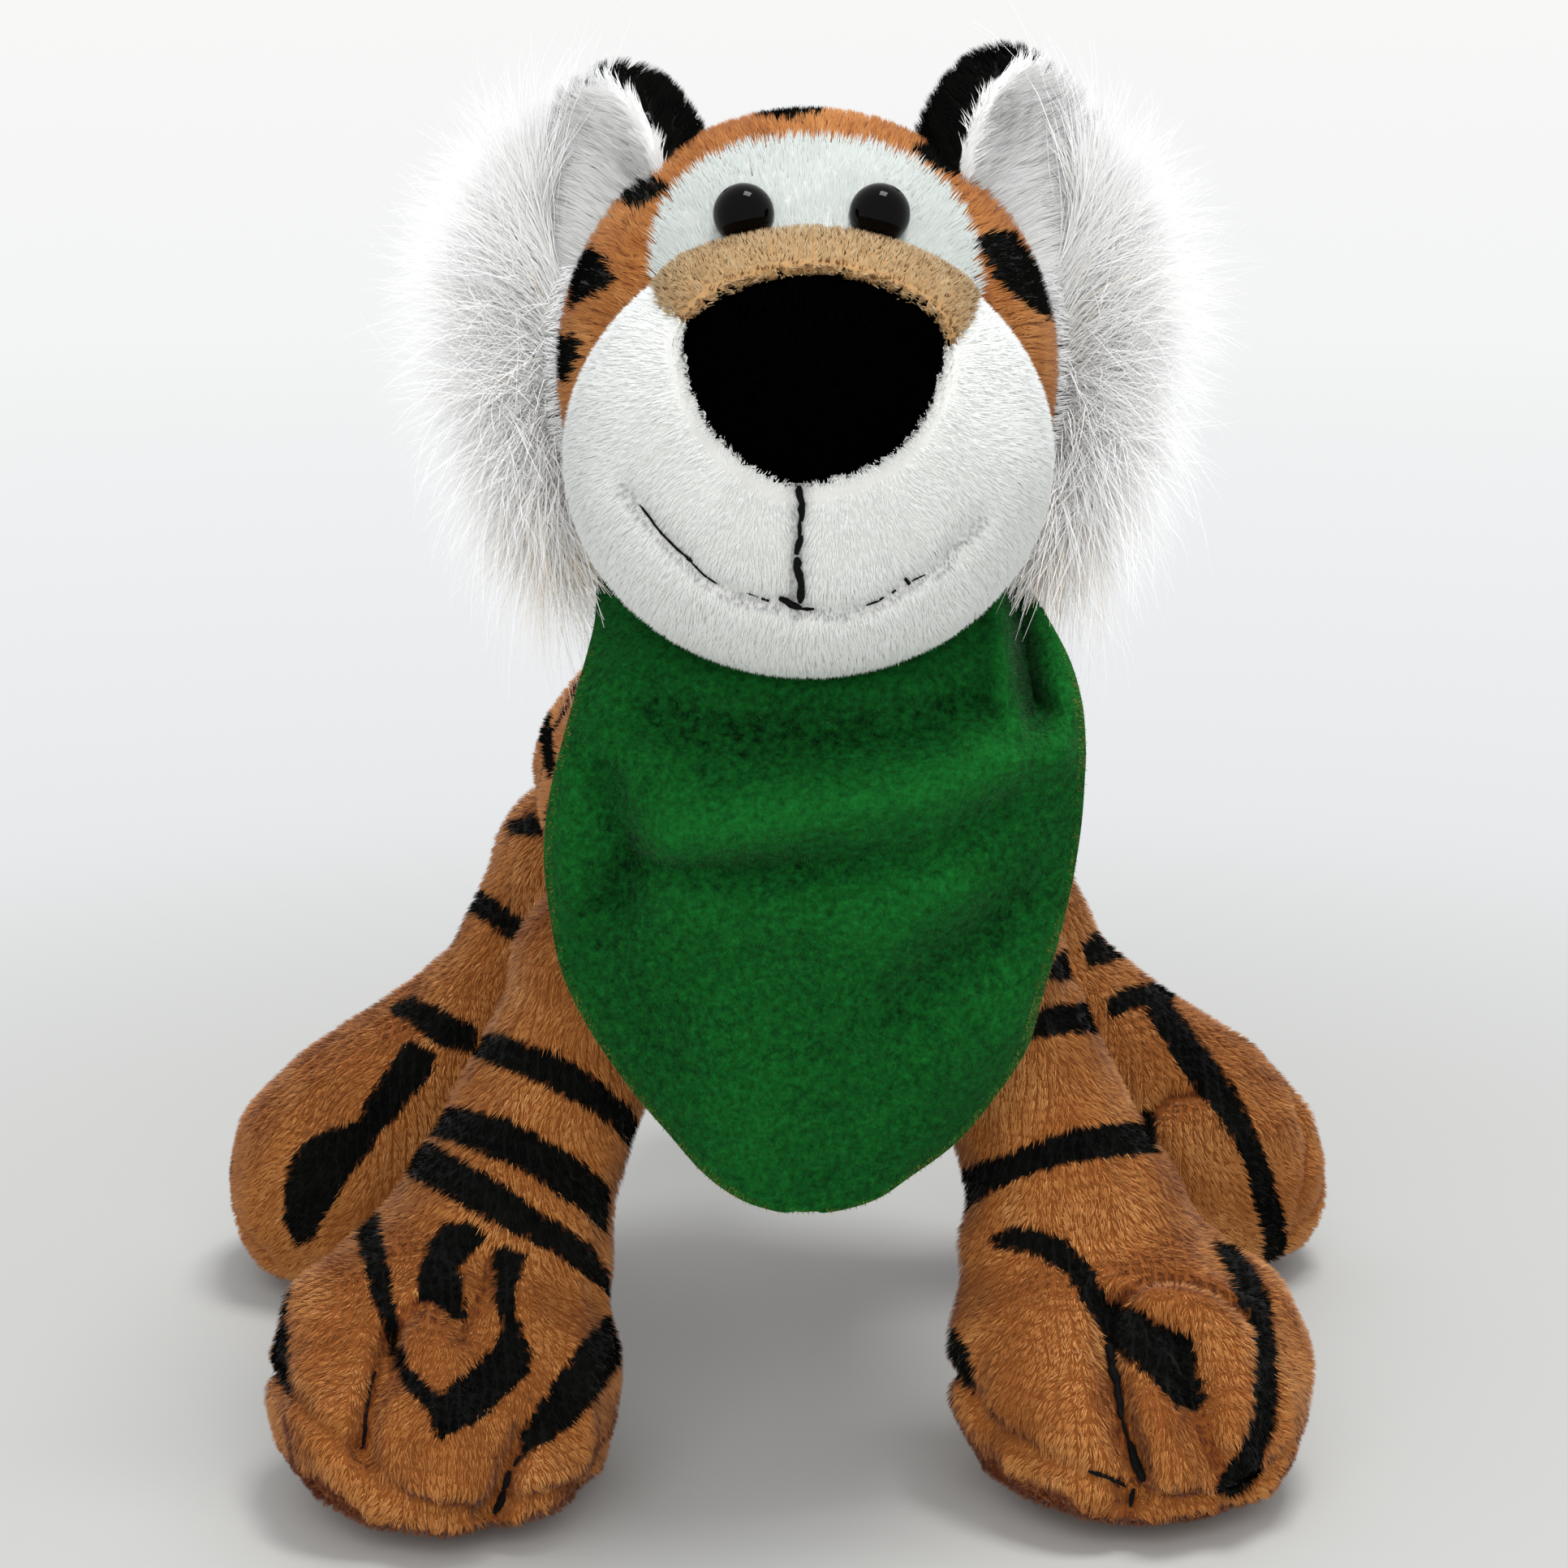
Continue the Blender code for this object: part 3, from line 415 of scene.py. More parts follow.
for hand, side in hands:
    ear = ordered(ball(hand + "_ear_shell", 56, 36))
    places = arrays(ear)[0] * (np.array(ear_halves) - ear_pile_depth)
    bowl = bowl_rim + bowl_rise * np.clip(1.0 - round_share(places), 0.0, 1.0)
    places[:, 1] = np.maximum(places[:, 1], bowl)
    move_to(ear, places)
    ear.data.transform(Matrix.Translation(ear_middle(side)) @ ear_axes(side).to_4x4())
    shells[hand + "_ear"] = relax(ear, 2)
    ear.data.shade_smooth()
    strip = copy_of(hand + "_mane_shell", [hand + "_mane"])
    shells[hand + "_mane"] = stuff(strip, 0.0008, 6, tuft_pile_depth)
    print(hand, "ear and tuft:", len(shells[hand + "_ear"].data.polygons), "faces")

# %% [markdown]
# ## Pulling the stitches tight
#
# A stitch that is pulled tight leaves a valley in the stuffing, and the cloth swells beside it.
# Each valley below follows places read off the picture. They land on the cloth as rays, and the
# vertices near that line move inwards, less and less with distance. The same way with a push in
# place of a pull gives the swollen toes and the round paws. The sewn lines are kept, because the
# pile is shorter in a seam and is painted darker there, as painted shade in the crease.

# %% Press lines into a surface
seams = {}
walk_pixels = 6.0


def line_on(tree, places):
    """A line of picture places, walked finely and dropped on a surface."""
    walked = []
    ends = pairs(places)
    for (ax, ay), (bx, by) in zip(ends, ends[1:]):
        steps = max(int(math.hypot(bx - ax, by - ay) / walk_pixels), 1)
        for i in range(steps):
            walked.append((ax + (bx - ax) * i / steps, ay + (by - ay) * i / steps))
    walked.append(ends[-1])
    hits = [landing(tree, x, y) for x, y in walked]
    return np.array([tuple(hit) for hit in hits if hit is not None])


def nearest(points, line):
    """The distance of each point to a finely walked line."""
    near = np.full(len(points), 1.0)
    for spot in line:
        near = np.minimum(near, np.linalg.norm(points - spot, axis=1))
    return near


def press_line(part, line, depth, width):
    """Moves a shell in along a line, or out where the depth is negative."""
    points, normals, _ = arrays(shells[part])
    push = depth * np.exp(-((nearest(points, line) / width) ** 2))
    move_to(shells[part], points - normals * push[:, None])


def press(part, places, depth, width):
    press_line(part, line_on(tree_of(shells[part]), places), depth, width)


for part in ("torso", *limbs):
    points, normals, _ = arrays(shells[part])
    lumps = 0.00045 * waves(points, 0.022, 3) + 0.00015 * waves(points, 0.007, 4)
    move_to(shells[part], points + normals * lumps[:, None])

# Each row is a part, a depth that is negative where the cloth swells, a width, and places.
moulded = (
    ("front_right", -0.0022, 0.0062, 392, 1600, 392, 1690, 402, 1750),
    ("front_right", -0.0022, 0.0056, 545, 1745, 548, 1790, 540, 1830),
    ("front_right", -0.0018, 0.0056, 715, 1680, 705, 1760, 680, 1820),
    ("front_right", -0.0010, 0.0034, 520, 1650, 560, 1670),
    ("front_left", -0.0024, 0.0080, 1255, 1620, 1270, 1700, 1300, 1770),
    ("front_left", -0.0022, 0.0060, 1204, 1540, 1196, 1600, 1192, 1650, 1194, 1700),
    ("front_left", -0.0014, 0.0040, 1425, 1740, 1445, 1800),
    ("front_left", -0.0019, 0.0036, 1415, 1598, 1480, 1612, 1520, 1655, 1526, 1710, 1514, 1765),
    ("hind_right", -0.0010, 0.0070, 330, 1400, 310, 1480),
    ("hind_left", -0.0016, 0.0065, 1440, 1400, 1440, 1480),
    ("front_right", 0.0012, 0.0040, 434, 1466, 500, 1490, 600, 1540, 700, 1580, 756, 1610),
    ("front_right", 0.0007, 0.0026, 585, 1560, 600, 1620, 590, 1700),
    ("front_left", 0.0013, 0.0045, 1180, 1575, 1270, 1550, 1370, 1535, 1450, 1500),
    ("front_left", 0.0026, 0.0050, 1488, 1490, 1500, 1520, 1510, 1545),
    ("hind_right", 0.0010, 0.0040, 505, 1235, 560, 1290, 590, 1330),
)
for part, depth, width, *places in moulded:
    press(part, places, depth, width)

# The same for the sewn lines, which stay in the list of seams.
stitch_lines = (
    ("front_right", 0.0032, 0.0016, 474, 1640, 467, 1681, 455, 1730, 447, 1786),
    ("front_right", 0.0034, 0.0016, 650, 1755, 633, 1796, 622, 1838, 610, 1868),
    ("front_right", 0.0012, 0.0016, 487, 1700, 489, 1650, 502, 1612, 530, 1598, 560, 1612),
    ("front_right", 0.0011, 0.0016, 570, 1640, 596, 1588, 606, 1548),
    ("front_left", 0.0036, 0.0018, 1366, 1600, 1365, 1663, 1375, 1704, 1383, 1769, 1402, 1815),
    ("front_left", 0.0018, 0.0018, 1395, 1612, 1436, 1636, 1458, 1652, 1470, 1700, 1475, 1740,
     1490, 1785, 1504, 1815),
    ("front_left", 0.0016, 0.0014, 1378, 1600, 1410, 1575, 1450, 1572, 1500, 1588, 1540, 1625),
    ("front_left", 0.0022, 0.0014, 1395, 1838, 1390, 1862),
    ("hind_left", 0.0022, 0.0016, 1402, 1420, 1408, 1380, 1440, 1350, 1478, 1345),
    ("head", 0.0013, 0.0016, 984, 598, 983, 660, 982, 756),
    ("head", 0.0012, 0.0018, 770, 600, 800, 636, 835, 676, 867, 710, 912, 735, 960, 742),
    ("head", 0.0012, 0.0018, 1000, 752, 1037, 754, 1086, 738, 1119, 715, 1160, 695, 1205, 640),
)
for part, depth, width, *places in stitch_lines:
    press(part, places, depth, width)
    seams.setdefault(part, []).append(line_on(tree_of(shells[part]), places))
print("stitches pulled:", len(stitch_lines))

# %% [markdown]
# ## Soles
#
# Each foot is closed by a sole, sewn on low round the paw. The picture shows the front of that
# seam, and round the heel it goes on level, where a ray from outside towards the middle of the paw
# finds the cloth.

# %% Sole seams
# Each row is a part, the paw's middle seen from above, and places of the seam.
sole_lines = (
    ("front_right", -0.0456, -0.0553, 322, 1668, 340, 1692, 362, 1716, 378, 1739, 409, 1765,
     446, 1786, 466, 1825, 503, 1852, 540, 1862, 602, 1866, 622, 1850, 664, 1850, 732, 1822),
    ("front_left", 0.0456, -0.0553, 1176, 1690, 1198, 1712, 1212, 1745, 1238, 1770, 1273, 1790,
     1341, 1813, 1388, 1831, 1412, 1843, 1446, 1855, 1487, 1851, 1521, 1843, 1555, 1823,
     1579, 1799, 1608, 1765),
    ("hind_right", -0.0612, 0.0307, 276, 1410, 283, 1450, 290, 1490, 308, 1525, 335, 1555),
    ("hind_left", 0.0612, 0.0307, 1592, 1345, 1608, 1400, 1606, 1450, 1596, 1500, 1578, 1555),
)
heel_height = 0.0100
seam_depth, seam_width = 0.0015, 0.0014
sole_swell, sole_width, sole_drop = 0.0005, 0.0032, 0.0042
floor_gap = 0.0006


def heel_line(tree, middle, start, end):
    """The seam from one end round the back of the paw to the other, between their heights."""
    first = math.atan2(start[1] - middle[1], start[0] - middle[0])
    last = math.atan2(end[1] - middle[1], end[0] - middle[0])
    back = math.pi / 2
    turns = [(angle - back + math.pi) % math.tau - math.pi for angle in (first, last)]
    line = []
    for step in range(81):
        share = step / 80
        angle = back + turns[0] + (turns[1] - turns[0]) * share
        height = start[2] + (end[2] - start[2]) * share
        height += (heel_height - height) * math.sin(math.pi * share)
        out = Vector((math.cos(angle), math.sin(angle), 0.0))
        hit = tree.ray_cast(Vector((*middle, height)) + out * 0.06, -out)[0]
        if hit is not None:
            line.append(tuple(hit))
    return np.array(line)


for part, middle_x, middle_y, *places in sole_lines:
    tree = tree_of(shells[part])
    front = line_on(tree, places)
    heel = heel_line(tree, (middle_x, middle_y), front[0], front[-1])
    line = np.concatenate([front, heel])
    press_line(part, line, seam_depth, seam_width)
    press_line(part, line - np.array((0.0, 0.0, sole_drop)), -sole_swell, sole_width)
    resting, _, _ = arrays(shells[part])
    resting[:, 2] = np.maximum(resting[:, 2], floor_gap)
    move_to(shells[part], resting)
    seams.setdefault(part, []).append(line)
print("soles sewn:", len(sole_lines))

# %% [markdown]
# ## The face's panels
#
# Nose, bridge, eye patch and snout are separate pieces of cloth on the toy. Their outlines are
# read off the picture, since the face looks straight at the camera. A place of the head belongs to
# the panel that it shows in. The nose and the bridge are padded, so their middles are pushed out,
# with a rounded edge.

# %% Panel outlines
on_head, on_snout, on_patch, on_bridge, on_nose = range(5)
nose_outline = (
    875, 374, 905, 357, 939, 346, 975, 339, 1014, 337, 1070, 348, 1130, 374, 1158, 400, 1165, 425,
    1160, 462, 1147, 500, 1128, 533, 1100, 562, 1060, 583, 1014, 597, 970, 599, 935, 583, 903, 561,
    871, 526, 850, 480, 840, 430, 847, 398,
)
bridge_outline = (
    800, 325, 820, 300, 845, 288, 895, 275, 945, 267, 990, 264, 1050, 268, 1105, 282, 1160, 307,
    1208, 342, 1200, 388, 1177, 424, 1161, 430, 1140, 440, 1010, 400, 860, 430, 846, 402, 812, 376,
)
patch_outline = (
    806, 345, 810, 292, 822, 258, 845, 226, 875, 202, 918, 184, 965, 176, 1020, 175, 1072, 182,
    1118, 200, 1156, 228, 1182, 262, 1195, 302, 1204, 365, 1000, 420,
)


def region_of(points):
    """The panel of each place on the head."""
    own = face_own(points)
    nearer_snout = ball_share(own, snout_middle, snout_halves) < ball_share(
        own, skull_middle, skull_halves
    )
    ahead = own[:, 1] < skull_middle.y
    x, y = pixels(points)
    region = np.where(nearer_snout, on_snout, on_head)
    in_patch = ahead & (region == on_head) & inside(patch_outline, x, y)
    region = np.where(in_patch, on_patch, region)
    in_bridge = ahead & (region == on_snout) & inside(bridge_outline, x, y)
    region = np.where(in_bridge, on_bridge, region)
    return np.where(ahead & inside(nose_outline, x, y), on_nose, region)


def pad(outline, region, height, edge):
    """Pushes a panel's middle out by its padding, round towards its edge."""
    points, normals, _ = arrays(shells["head"])
    x, y = pixels(points)
    inward = line_distance(outline, x, y) * (region_of(points) == region)
    push = height * np.sqrt(np.clip(inward / edge, 0.0, 1.0))
    move_to(shells["head"], points + normals * push[:, None])


pad(nose_outline, on_nose, height=0.0014, edge=55.0)
pad(bridge_outline, on_bridge, height=0.0013, edge=40.0)
head_region = region_of(arrays(shells["head"])[0])
print("vertices in each panel:", np.bincount(head_region).tolist())

# %% [markdown]
# ## The dye
#
# The stripes are dyed into the cloth. What the picture shows of them is copied as outlines, one
# list for each limb, and a place of the cloth that faces the camera is black when it falls inside
# one. Round the back, where the picture can't help, each stripe goes on as a band between the
# heights at which it left the two sides.

# %% Stripes seen in the picture
stripe_outlines = {
    "front_right": (
        (576, 1297, 589, 1274, 624, 1276, 684, 1297, 733, 1324, 776, 1363, 786, 1391, 780, 1424,
         753, 1388, 716, 1361, 668, 1335, 620, 1317),
        (509, 1392, 531, 1368, 571, 1364, 628, 1377, 703, 1421, 750, 1461, 747, 1522, 717, 1492,
         637, 1439, 558, 1408),
        (485, 1433, 505, 1402, 533, 1409, 576, 1433, 624, 1462, 674, 1498, 723, 1530, 748, 1567,
         749, 1597, 720, 1573, 680, 1544, 644, 1525, 596, 1501, 548, 1471, 509, 1452),
        (436, 1484, 450, 1466, 466, 1468, 470, 1510, 480, 1562, 489, 1609, 492, 1645, 507, 1687,
         546, 1723, 538, 1750, 500, 1708, 478, 1666, 468, 1624, 455, 1588, 442, 1531),
        (530, 1744, 544, 1718, 586, 1680, 610, 1660, 620, 1635, 607, 1604, 610, 1562, 606, 1545,
         620, 1533, 650, 1545, 646, 1562, 636, 1588, 636, 1624, 656, 1668, 653, 1690, 624, 1720,
         583, 1756, 540, 1774),
        (514, 1606, 514, 1572, 527, 1534, 547, 1507, 583, 1506, 604, 1524, 578, 1546, 567, 1566,
         573, 1596, 577, 1632, 556, 1627, 531, 1604),
        (366, 1544, 346, 1571, 335, 1637, 341, 1703, 364, 1728, 359, 1681, 355, 1615),
        (748, 1617, 762, 1650, 762, 1680, 728, 1732, 686, 1772, 640, 1796, 642, 1764, 675, 1714,
         710, 1660),
    ),
    "front_left": (
        (1289, 1206, 1294, 1184, 1308, 1168, 1333, 1170, 1342, 1189, 1338, 1205, 1314, 1208),
        (1266, 1278, 1273, 1249, 1290, 1237, 1350, 1234, 1368, 1252, 1370, 1273, 1331, 1273,
         1286, 1279),
        (1183, 1441, 1213, 1429, 1263, 1412, 1325, 1389, 1382, 1382, 1411, 1385, 1427, 1422,
         1370, 1426, 1314, 1435, 1263, 1449, 1213, 1475, 1184, 1498),
        (1216, 1527, 1249, 1509, 1286, 1515, 1319, 1532, 1345, 1561, 1364, 1599, 1369, 1622,
         1360, 1641, 1348, 1632, 1328, 1592, 1308, 1567, 1281, 1550, 1255, 1542, 1230, 1539),
        (1354, 1618, 1373, 1602, 1406, 1615, 1438, 1635, 1471, 1646, 1473, 1668, 1477, 1691,
         1486, 1724, 1480, 1743, 1447, 1732, 1412, 1694, 1380, 1668, 1356, 1652),
        (1491, 1530, 1521, 1537, 1548, 1565, 1562, 1594, 1568, 1634, 1573, 1679, 1575, 1719,
         1570, 1754, 1559, 1788, 1548, 1822, 1532, 1840, 1514, 1846, 1498, 1836, 1500, 1819,
         1516, 1801, 1533, 1773, 1542, 1740, 1545, 1702, 1545, 1657, 1539, 1630, 1522, 1597,
         1510, 1569),
        (1150, 1650, 1166, 1636, 1180, 1636, 1191, 1656, 1200, 1684, 1206, 1718, 1193, 1712,
         1176, 1694, 1150, 1676),
    ),
    "hind_right": (
        (625, 1016, 654, 1001, 680, 1014, 680, 1030, 630, 1030),
        (560, 1110, 584, 1088, 651, 1136, 643, 1169),
        (478, 1243, 510, 1226, 591, 1265, 586, 1298, 545, 1290, 505, 1264),
        (503, 1282, 540, 1296, 532, 1325, 478, 1388, 440, 1392, 449, 1364, 477, 1318, 495, 1292),
        (436, 1384, 476, 1384, 462, 1413, 433, 1446, 407, 1490, 388, 1526, 365, 1536, 350, 1500,
         352, 1460, 366, 1420, 382, 1402, 404, 1388),
        (300, 1345, 310, 1352, 290, 1390, 288, 1460, 270, 1440),
    ),
    "hind_left": (
        (1330, 1164, 1346, 1148, 1362, 1150, 1390, 1181, 1366, 1187, 1340, 1191),
        (1362, 1234, 1375, 1221, 1398, 1213, 1443, 1212, 1448, 1229, 1440, 1243, 1410, 1240,
         1393, 1246, 1369, 1255),
        (1407, 1242, 1439, 1234, 1463, 1262, 1486, 1293, 1517, 1335, 1537, 1374, 1553, 1408,
         1568, 1453, 1582, 1499, 1583, 1535, 1575, 1556, 1550, 1561, 1553, 1527, 1547, 1493,
         1536, 1454, 1522, 1410, 1502, 1377, 1486, 1360, 1463, 1332, 1440, 1298, 1421, 1265),
        (1402, 1368, 1422, 1366, 1425, 1404, 1412, 1402),
    ),
    "head": (
        (935, 148, 948, 118, 974, 108, 1002, 116, 1014, 142, 974, 152),
        (760, 250, 795, 215, 830, 237, 790, 262),
        (712, 318, 735, 300, 765, 348, 737, 366, 706, 380),
        (690, 419, 710, 408, 721, 431, 703, 470, 690, 470),
        (1118, 188, 1150, 180, 1200, 210, 1195, 222, 1150, 212),
        (1195, 300, 1215, 284, 1245, 288, 1275, 330, 1295, 379, 1289, 396, 1262, 377, 1225, 350),
    ),
    "torso": (
        (665, 870, 680, 877, 692, 947, 680, 960, 670, 920),
    ),
}
print("stripes read off the picture:", sum(len(found) for found in stripe_outlines.values()))

# %% Stripes round the back
# Each band has its height at the outer side, its height at the inner side and half its width.
hidden_bands = {
    "front_right": ((0.0585, 0.0455, 0.0014), (0.0480, 0.0365, 0.0022), (0.0430, 0.0290, 0.0014)),
    "front_left": ((0.0690, 0.0670, 0.0013), (0.0620, 0.0600, 0.0013), (0.0452, 0.0385, 0.0019)),
    "hind_right": (
        (0.0710, 0.0700, 0.0013), (0.0605, 0.0560, 0.0015), (0.0440, 0.0400, 0.0016),
        (0.0300, 0.0240, 0.0018),
    ),
    "hind_left": (
        (0.0600, 0.0560, 0.0013), (0.0470, 0.0440, 0.0016), (0.0330, 0.0290, 0.0017),
    ),
    "head": ((0.1690, 0.1690, 0.0022), (0.1560, 0.1540, 0.0024), (0.1420, 0.1400, 0.0024)),
}
torso_bands = (-0.0320, -0.0160, 0.0010, 0.0180, 0.0340)
tail_root = (0.0, 0.0439, 0.0890)
tail_rings, tail_tip_from = (0.014, 0.024, 0.034), 0.0425
dye_blur = 1.2
seen_from = {False: -0.04, True: -0.12}


def facing(points, normals):
    """How squarely the cloth faces the camera: 1 is straight at it, 0 is edge on."""
    return dots(toward_camera(points), normals)


def striped(part, points, normals, seed=0):
    """Which places of a part are dyed black."""
    chance = np.random.default_rng(seed)
    x, y = pixels(points)
    x = x + chance.normal(0.0, dye_blur, len(x))
    y = y + chance.normal(0.0, dye_blur, len(y))
    seen = facing(points, normals) > seen_from[part == "head"]
    black = np.zeros(len(points), bool)
    for outline in stripe_outlines.get(part, ()):
        black |= seen & inside(outline, x, y)
    side = -1.0 if part.endswith("right") else 1.0
    outer_share = (1.0 + normals[:, 0] * side) / 2.0
    wobble = 0.0010 * waves(points, 0.018, 8) + chance.normal(0.0, 0.00025, len(x))
    for outer, inner, half in hidden_bands.get(part, ()):
        level = inner + (outer - inner) * outer_share + wobble
        black |= ~seen & (np.abs(points[:, 2] - level) < half)
    if part == "torso":
        for number, place in enumerate(torso_bands):
            reach = 0.078 if number % 2 else 0.070
            half = 0.0026 * np.clip((points[:, 2] - reach) / 0.016, 0.0, 1.0)
            bend = 0.0035 * np.sin(points[:, 0] * 90.0 + number) + 2.0 * wobble
            black |= (np.abs(points[:, 1] - place - bend) < half) & (points[:, 1] > -0.055)
    if part == "tail":
        run = np.linalg.norm(points - np.array(tail_root), axis=1)
        for place in tail_rings:
            black |= np.abs(run - place - wobble) < 0.0019
        black |= run > tail_tip_from
    return black


print("bands on the torso:", len(torso_bands))

# %% [markdown]
# ## Cloth and pile finishes
#
# Plush is a knitted backing with thousands of fibres standing on it. The backing gets a knit
# pattern in its bump and takes its dye from an attribute on the vertices. The fibres get a small
# palette for each colour, from dark to pale, and neighbours differ, so that light seems to sink in.

# %% Colours and finishes
def linear(red, green, blue):
    """A screen colour from 0 to 255 as the numbers a shader takes."""
    parts = []
    for value in (red / 255.0, green / 255.0, blue / 255.0):
        parts.append(value / 12.92 if value <= 0.04045 else ((value + 0.055) / 1.055) ** 2.4)
    return (*parts, 1.0)


palettes = {
    "brown": ((142, 79, 31), (162, 97, 43), (180, 115, 56), (196, 133, 72), (213, 155, 95)),
    # The reddish seam palette is painted shade for the fibres in a sewn crease.
    "shaded_seam": ((88, 38, 17), (106, 50, 23), (124, 62, 29), (140, 75, 35), (154, 88, 42)),
    "black": ((5, 6, 5), (9, 10, 9), (14, 15, 13), (19, 19, 17), (27, 27, 24)),
    "white": ((214, 216, 211), (224, 226, 222), (231, 233, 229), (237, 239, 236), (243, 245, 243)),
    # The patch palette is greyer than the white one: painted shade for the patch, which faces up to
    # the window lamp.
    "patch": ((186, 192, 188), (193, 199, 195), (199, 205, 201), (204, 210, 206), (210, 216, 212)),
    # The grey dent palette is painted shade for the fibres in the smile's dents.
    "shaded_dent": ((140, 142, 148), (160, 162, 166), (178, 180, 182), (194, 196, 196), (208, 210, 208)),
    "snow": ((234, 234, 229), (241, 241, 238), (246, 246, 244), (250, 250, 249), (253, 253, 253)),
    "tan": ((160, 127, 86), (172, 142, 101), (182, 155, 115), (191, 167, 128), (200, 180, 145)),
    "cream": ((212, 184, 150), (224, 204, 178), (234, 220, 200), (241, 232, 218), (247, 242, 233)),
    "nap": ((1, 1, 1), (1, 1, 1), (2, 2, 2), (3, 3, 3), (5, 5, 5)),
    "felt": ((5, 40, 12), (9, 54, 17), (13, 68, 24), (18, 85, 31), (31, 109, 46)),
    "edge_tint": ((44, 66, 16), (72, 88, 24), (102, 108, 32), (130, 124, 42), (156, 142, 58)),
}
tones = 5


def put(holder, values):
    """Puts values on a node's sockets, by their names or numbers."""
    for socket, value in values.items():
        holder.inputs[socket].default_value = value
    return holder


def new_material(name, values):
    """A material with values on its shader's sockets, its node tree and that shader."""
    made = bpy.data.materials.new(name)
    made.use_nodes = True
    return made, made.node_tree, put(made.node_tree.nodes["Principled BSDF"], values)


def add_node(tree, kind, values={}):
    return put(tree.nodes.new("ShaderNode" + kind), values)


def colour_mix(tree, values={}):
    """A mix of two colours, which are its sockets 6 and 7."""
    made = tree.nodes.new("ShaderNodeMix")
    made.data_type = "RGBA"
    return put(made, values)


def wire(tree, *links):
    """Links sockets: each link is a node, its output, another node and its input."""
    for source, output, target, socket in links:
        tree.links.new(source.outputs[output], target.inputs[socket])


def by_object(tree, *textures):
    """Lays textures out in the object's own coordinates."""
    place = add_node(tree, "TexCoord")
    for texture in textures:
        wire(tree, (place, "Object", texture, "Vector"))


fibre_materials = {}
for colour, shades in palettes.items():
    dark = colour in ("black", "nap")
    for number, shade in enumerate(shades):
        fibre_materials[colour, number], _, _ = new_material(f"{colour}_fibre_{number}", {
            "Base Color": linear(*shade), "Roughness": 0.95 if dark else 0.75,
            "Sheen Weight": 0.0 if dark else 0.12, "Sheen Roughness": 0.5,
            "Specular IOR Level": 0.0 if dark else 0.2,
        })


def cloth_material(name, plain, dyed, knit, hollows=0.75, shine=0.1):
    """Backing cloth: a plain and a dyed colour by the attribute dye, with a fine knit."""
    made, tree, shader = new_material(
        name, {"Roughness": 0.9, "Sheen Weight": shine, "Specular IOR Level": shine}
    )
    dye = add_node(tree, "Attribute")
    dye.attribute_name = "dye"
    patches = add_node(tree, "TexNoise", {"Scale": 240.0, "Detail": 4.0})
    dark = tuple(hollows * value for value in linear(*plain)[:3])
    ramp = colour_mix(tree, {6: (*dark, 1.0), 7: linear(*plain)})
    mix = colour_mix(tree, {7: linear(*dyed)})
    bumps = add_node(tree, "TexVoronoi", {"Scale": knit})
    bump = add_node(tree, "Bump", {"Strength": 0.3, "Distance": 0.0003})
    by_object(tree, patches, bumps)
    wire(
        tree, (patches, "Fac", ramp, "Factor"), (ramp, 2, mix, 6), (dye, "Fac", mix, "Factor"),
        (mix, 2, shader, "Base Color"), (bumps, "Distance", bump, "Height"),
        (bump, "Normal", shader, "Normal"),
    )
    return made


black_dye = (9, 9, 8)
brown_backing = cloth_material("brown_backing", (140, 80, 34), black_dye, 1500.0)
white_backing = cloth_material("white_backing", (226, 226, 221), black_dye, 1500.0)
snow_backing = cloth_material("snow_backing", (250, 250, 248), black_dye, 1500.0, hollows=0.92)
tan_backing = cloth_material("tan_backing", (186, 146, 98), black_dye, 1500.0)
nose_backing = cloth_material("nose_backing", (2, 2, 2), (2, 2, 2), 2400.0, shine=0.0)
print("finishes:", len(bpy.data.materials))

# %% Put the dye on the shells
def set_dye(obj, black):
    attribute = obj.data.attributes.new("dye", "FLOAT", "POINT")
    attribute.data.foreach_set("value", black.astype(np.float32))


def ear_front(side, points):
    """Which places of an ear are on its white front, inside the seam."""
    own = ear_own(side, points)
    return (own[:, 1] < 0.0) & (round_share(own) < 0.80)


for part, shell in shells.items():
    points, normals, _ = arrays(shell)
    black = striped(part, points, normals)
    if part == "head":
        black &= head_region == on_head
    if part.endswith("_ear"):
        black = ~ear_front(-1 if part.startswith("right") else 1, points)
    set_dye(shell, black)
print("dyed shells:", len(shells))

# %% [markdown]
# ## Growing the pile
#
# Blender's own hair isn't a solid piece, so the pile is made as real strands: a fibre is a thin
# ribbon that leans over and narrows to a point. Fibres start at random places of the shell, spread
# by area. Neighbours within a millimetre or two bend to a common tip, which gives the little tufts
# that brushed plush has. Plain arrays do this far faster than any operator could.

# %% The fibre grower
def sprinkle(shell, per_mm2, seed, allowed=None):
    """Random places on a shell, spread by area, with their smooth normals."""
    places, normals, triangles = arrays(shell)
    corners = places[triangles]
    cross = np.cross(corners[:, 1] - corners[:, 0], corners[:, 2] - corners[:, 0])
    areas = np.linalg.norm(cross, axis=1) / 2.0
    if allowed is not None:
        areas = areas * allowed[triangles].all(axis=1)
    chance = np.random.default_rng(seed)
    count = int(areas.sum() * 1e6 * per_mm2 * (1.0))
    picks = chance.choice(len(triangles), count, p=areas / areas.sum())
    a, b = chance.random(count), chance.random(count)
    flip = a + b > 1.0
    a[flip], b[flip] = 1.0 - a[flip], 1.0 - b[flip]
    weights = np.stack([1.0 - a - b, a, b], 1)[:, :, None]
    return (corners[picks] * weights).sum(1), unit((normals[triangles[picks]] * weights).sum(1))


def along_cloth(flow, normals):
    """What is left of a direction when it is laid down on the cloth."""
    return unit(flow - normals * dots(flow, normals)[:, None])


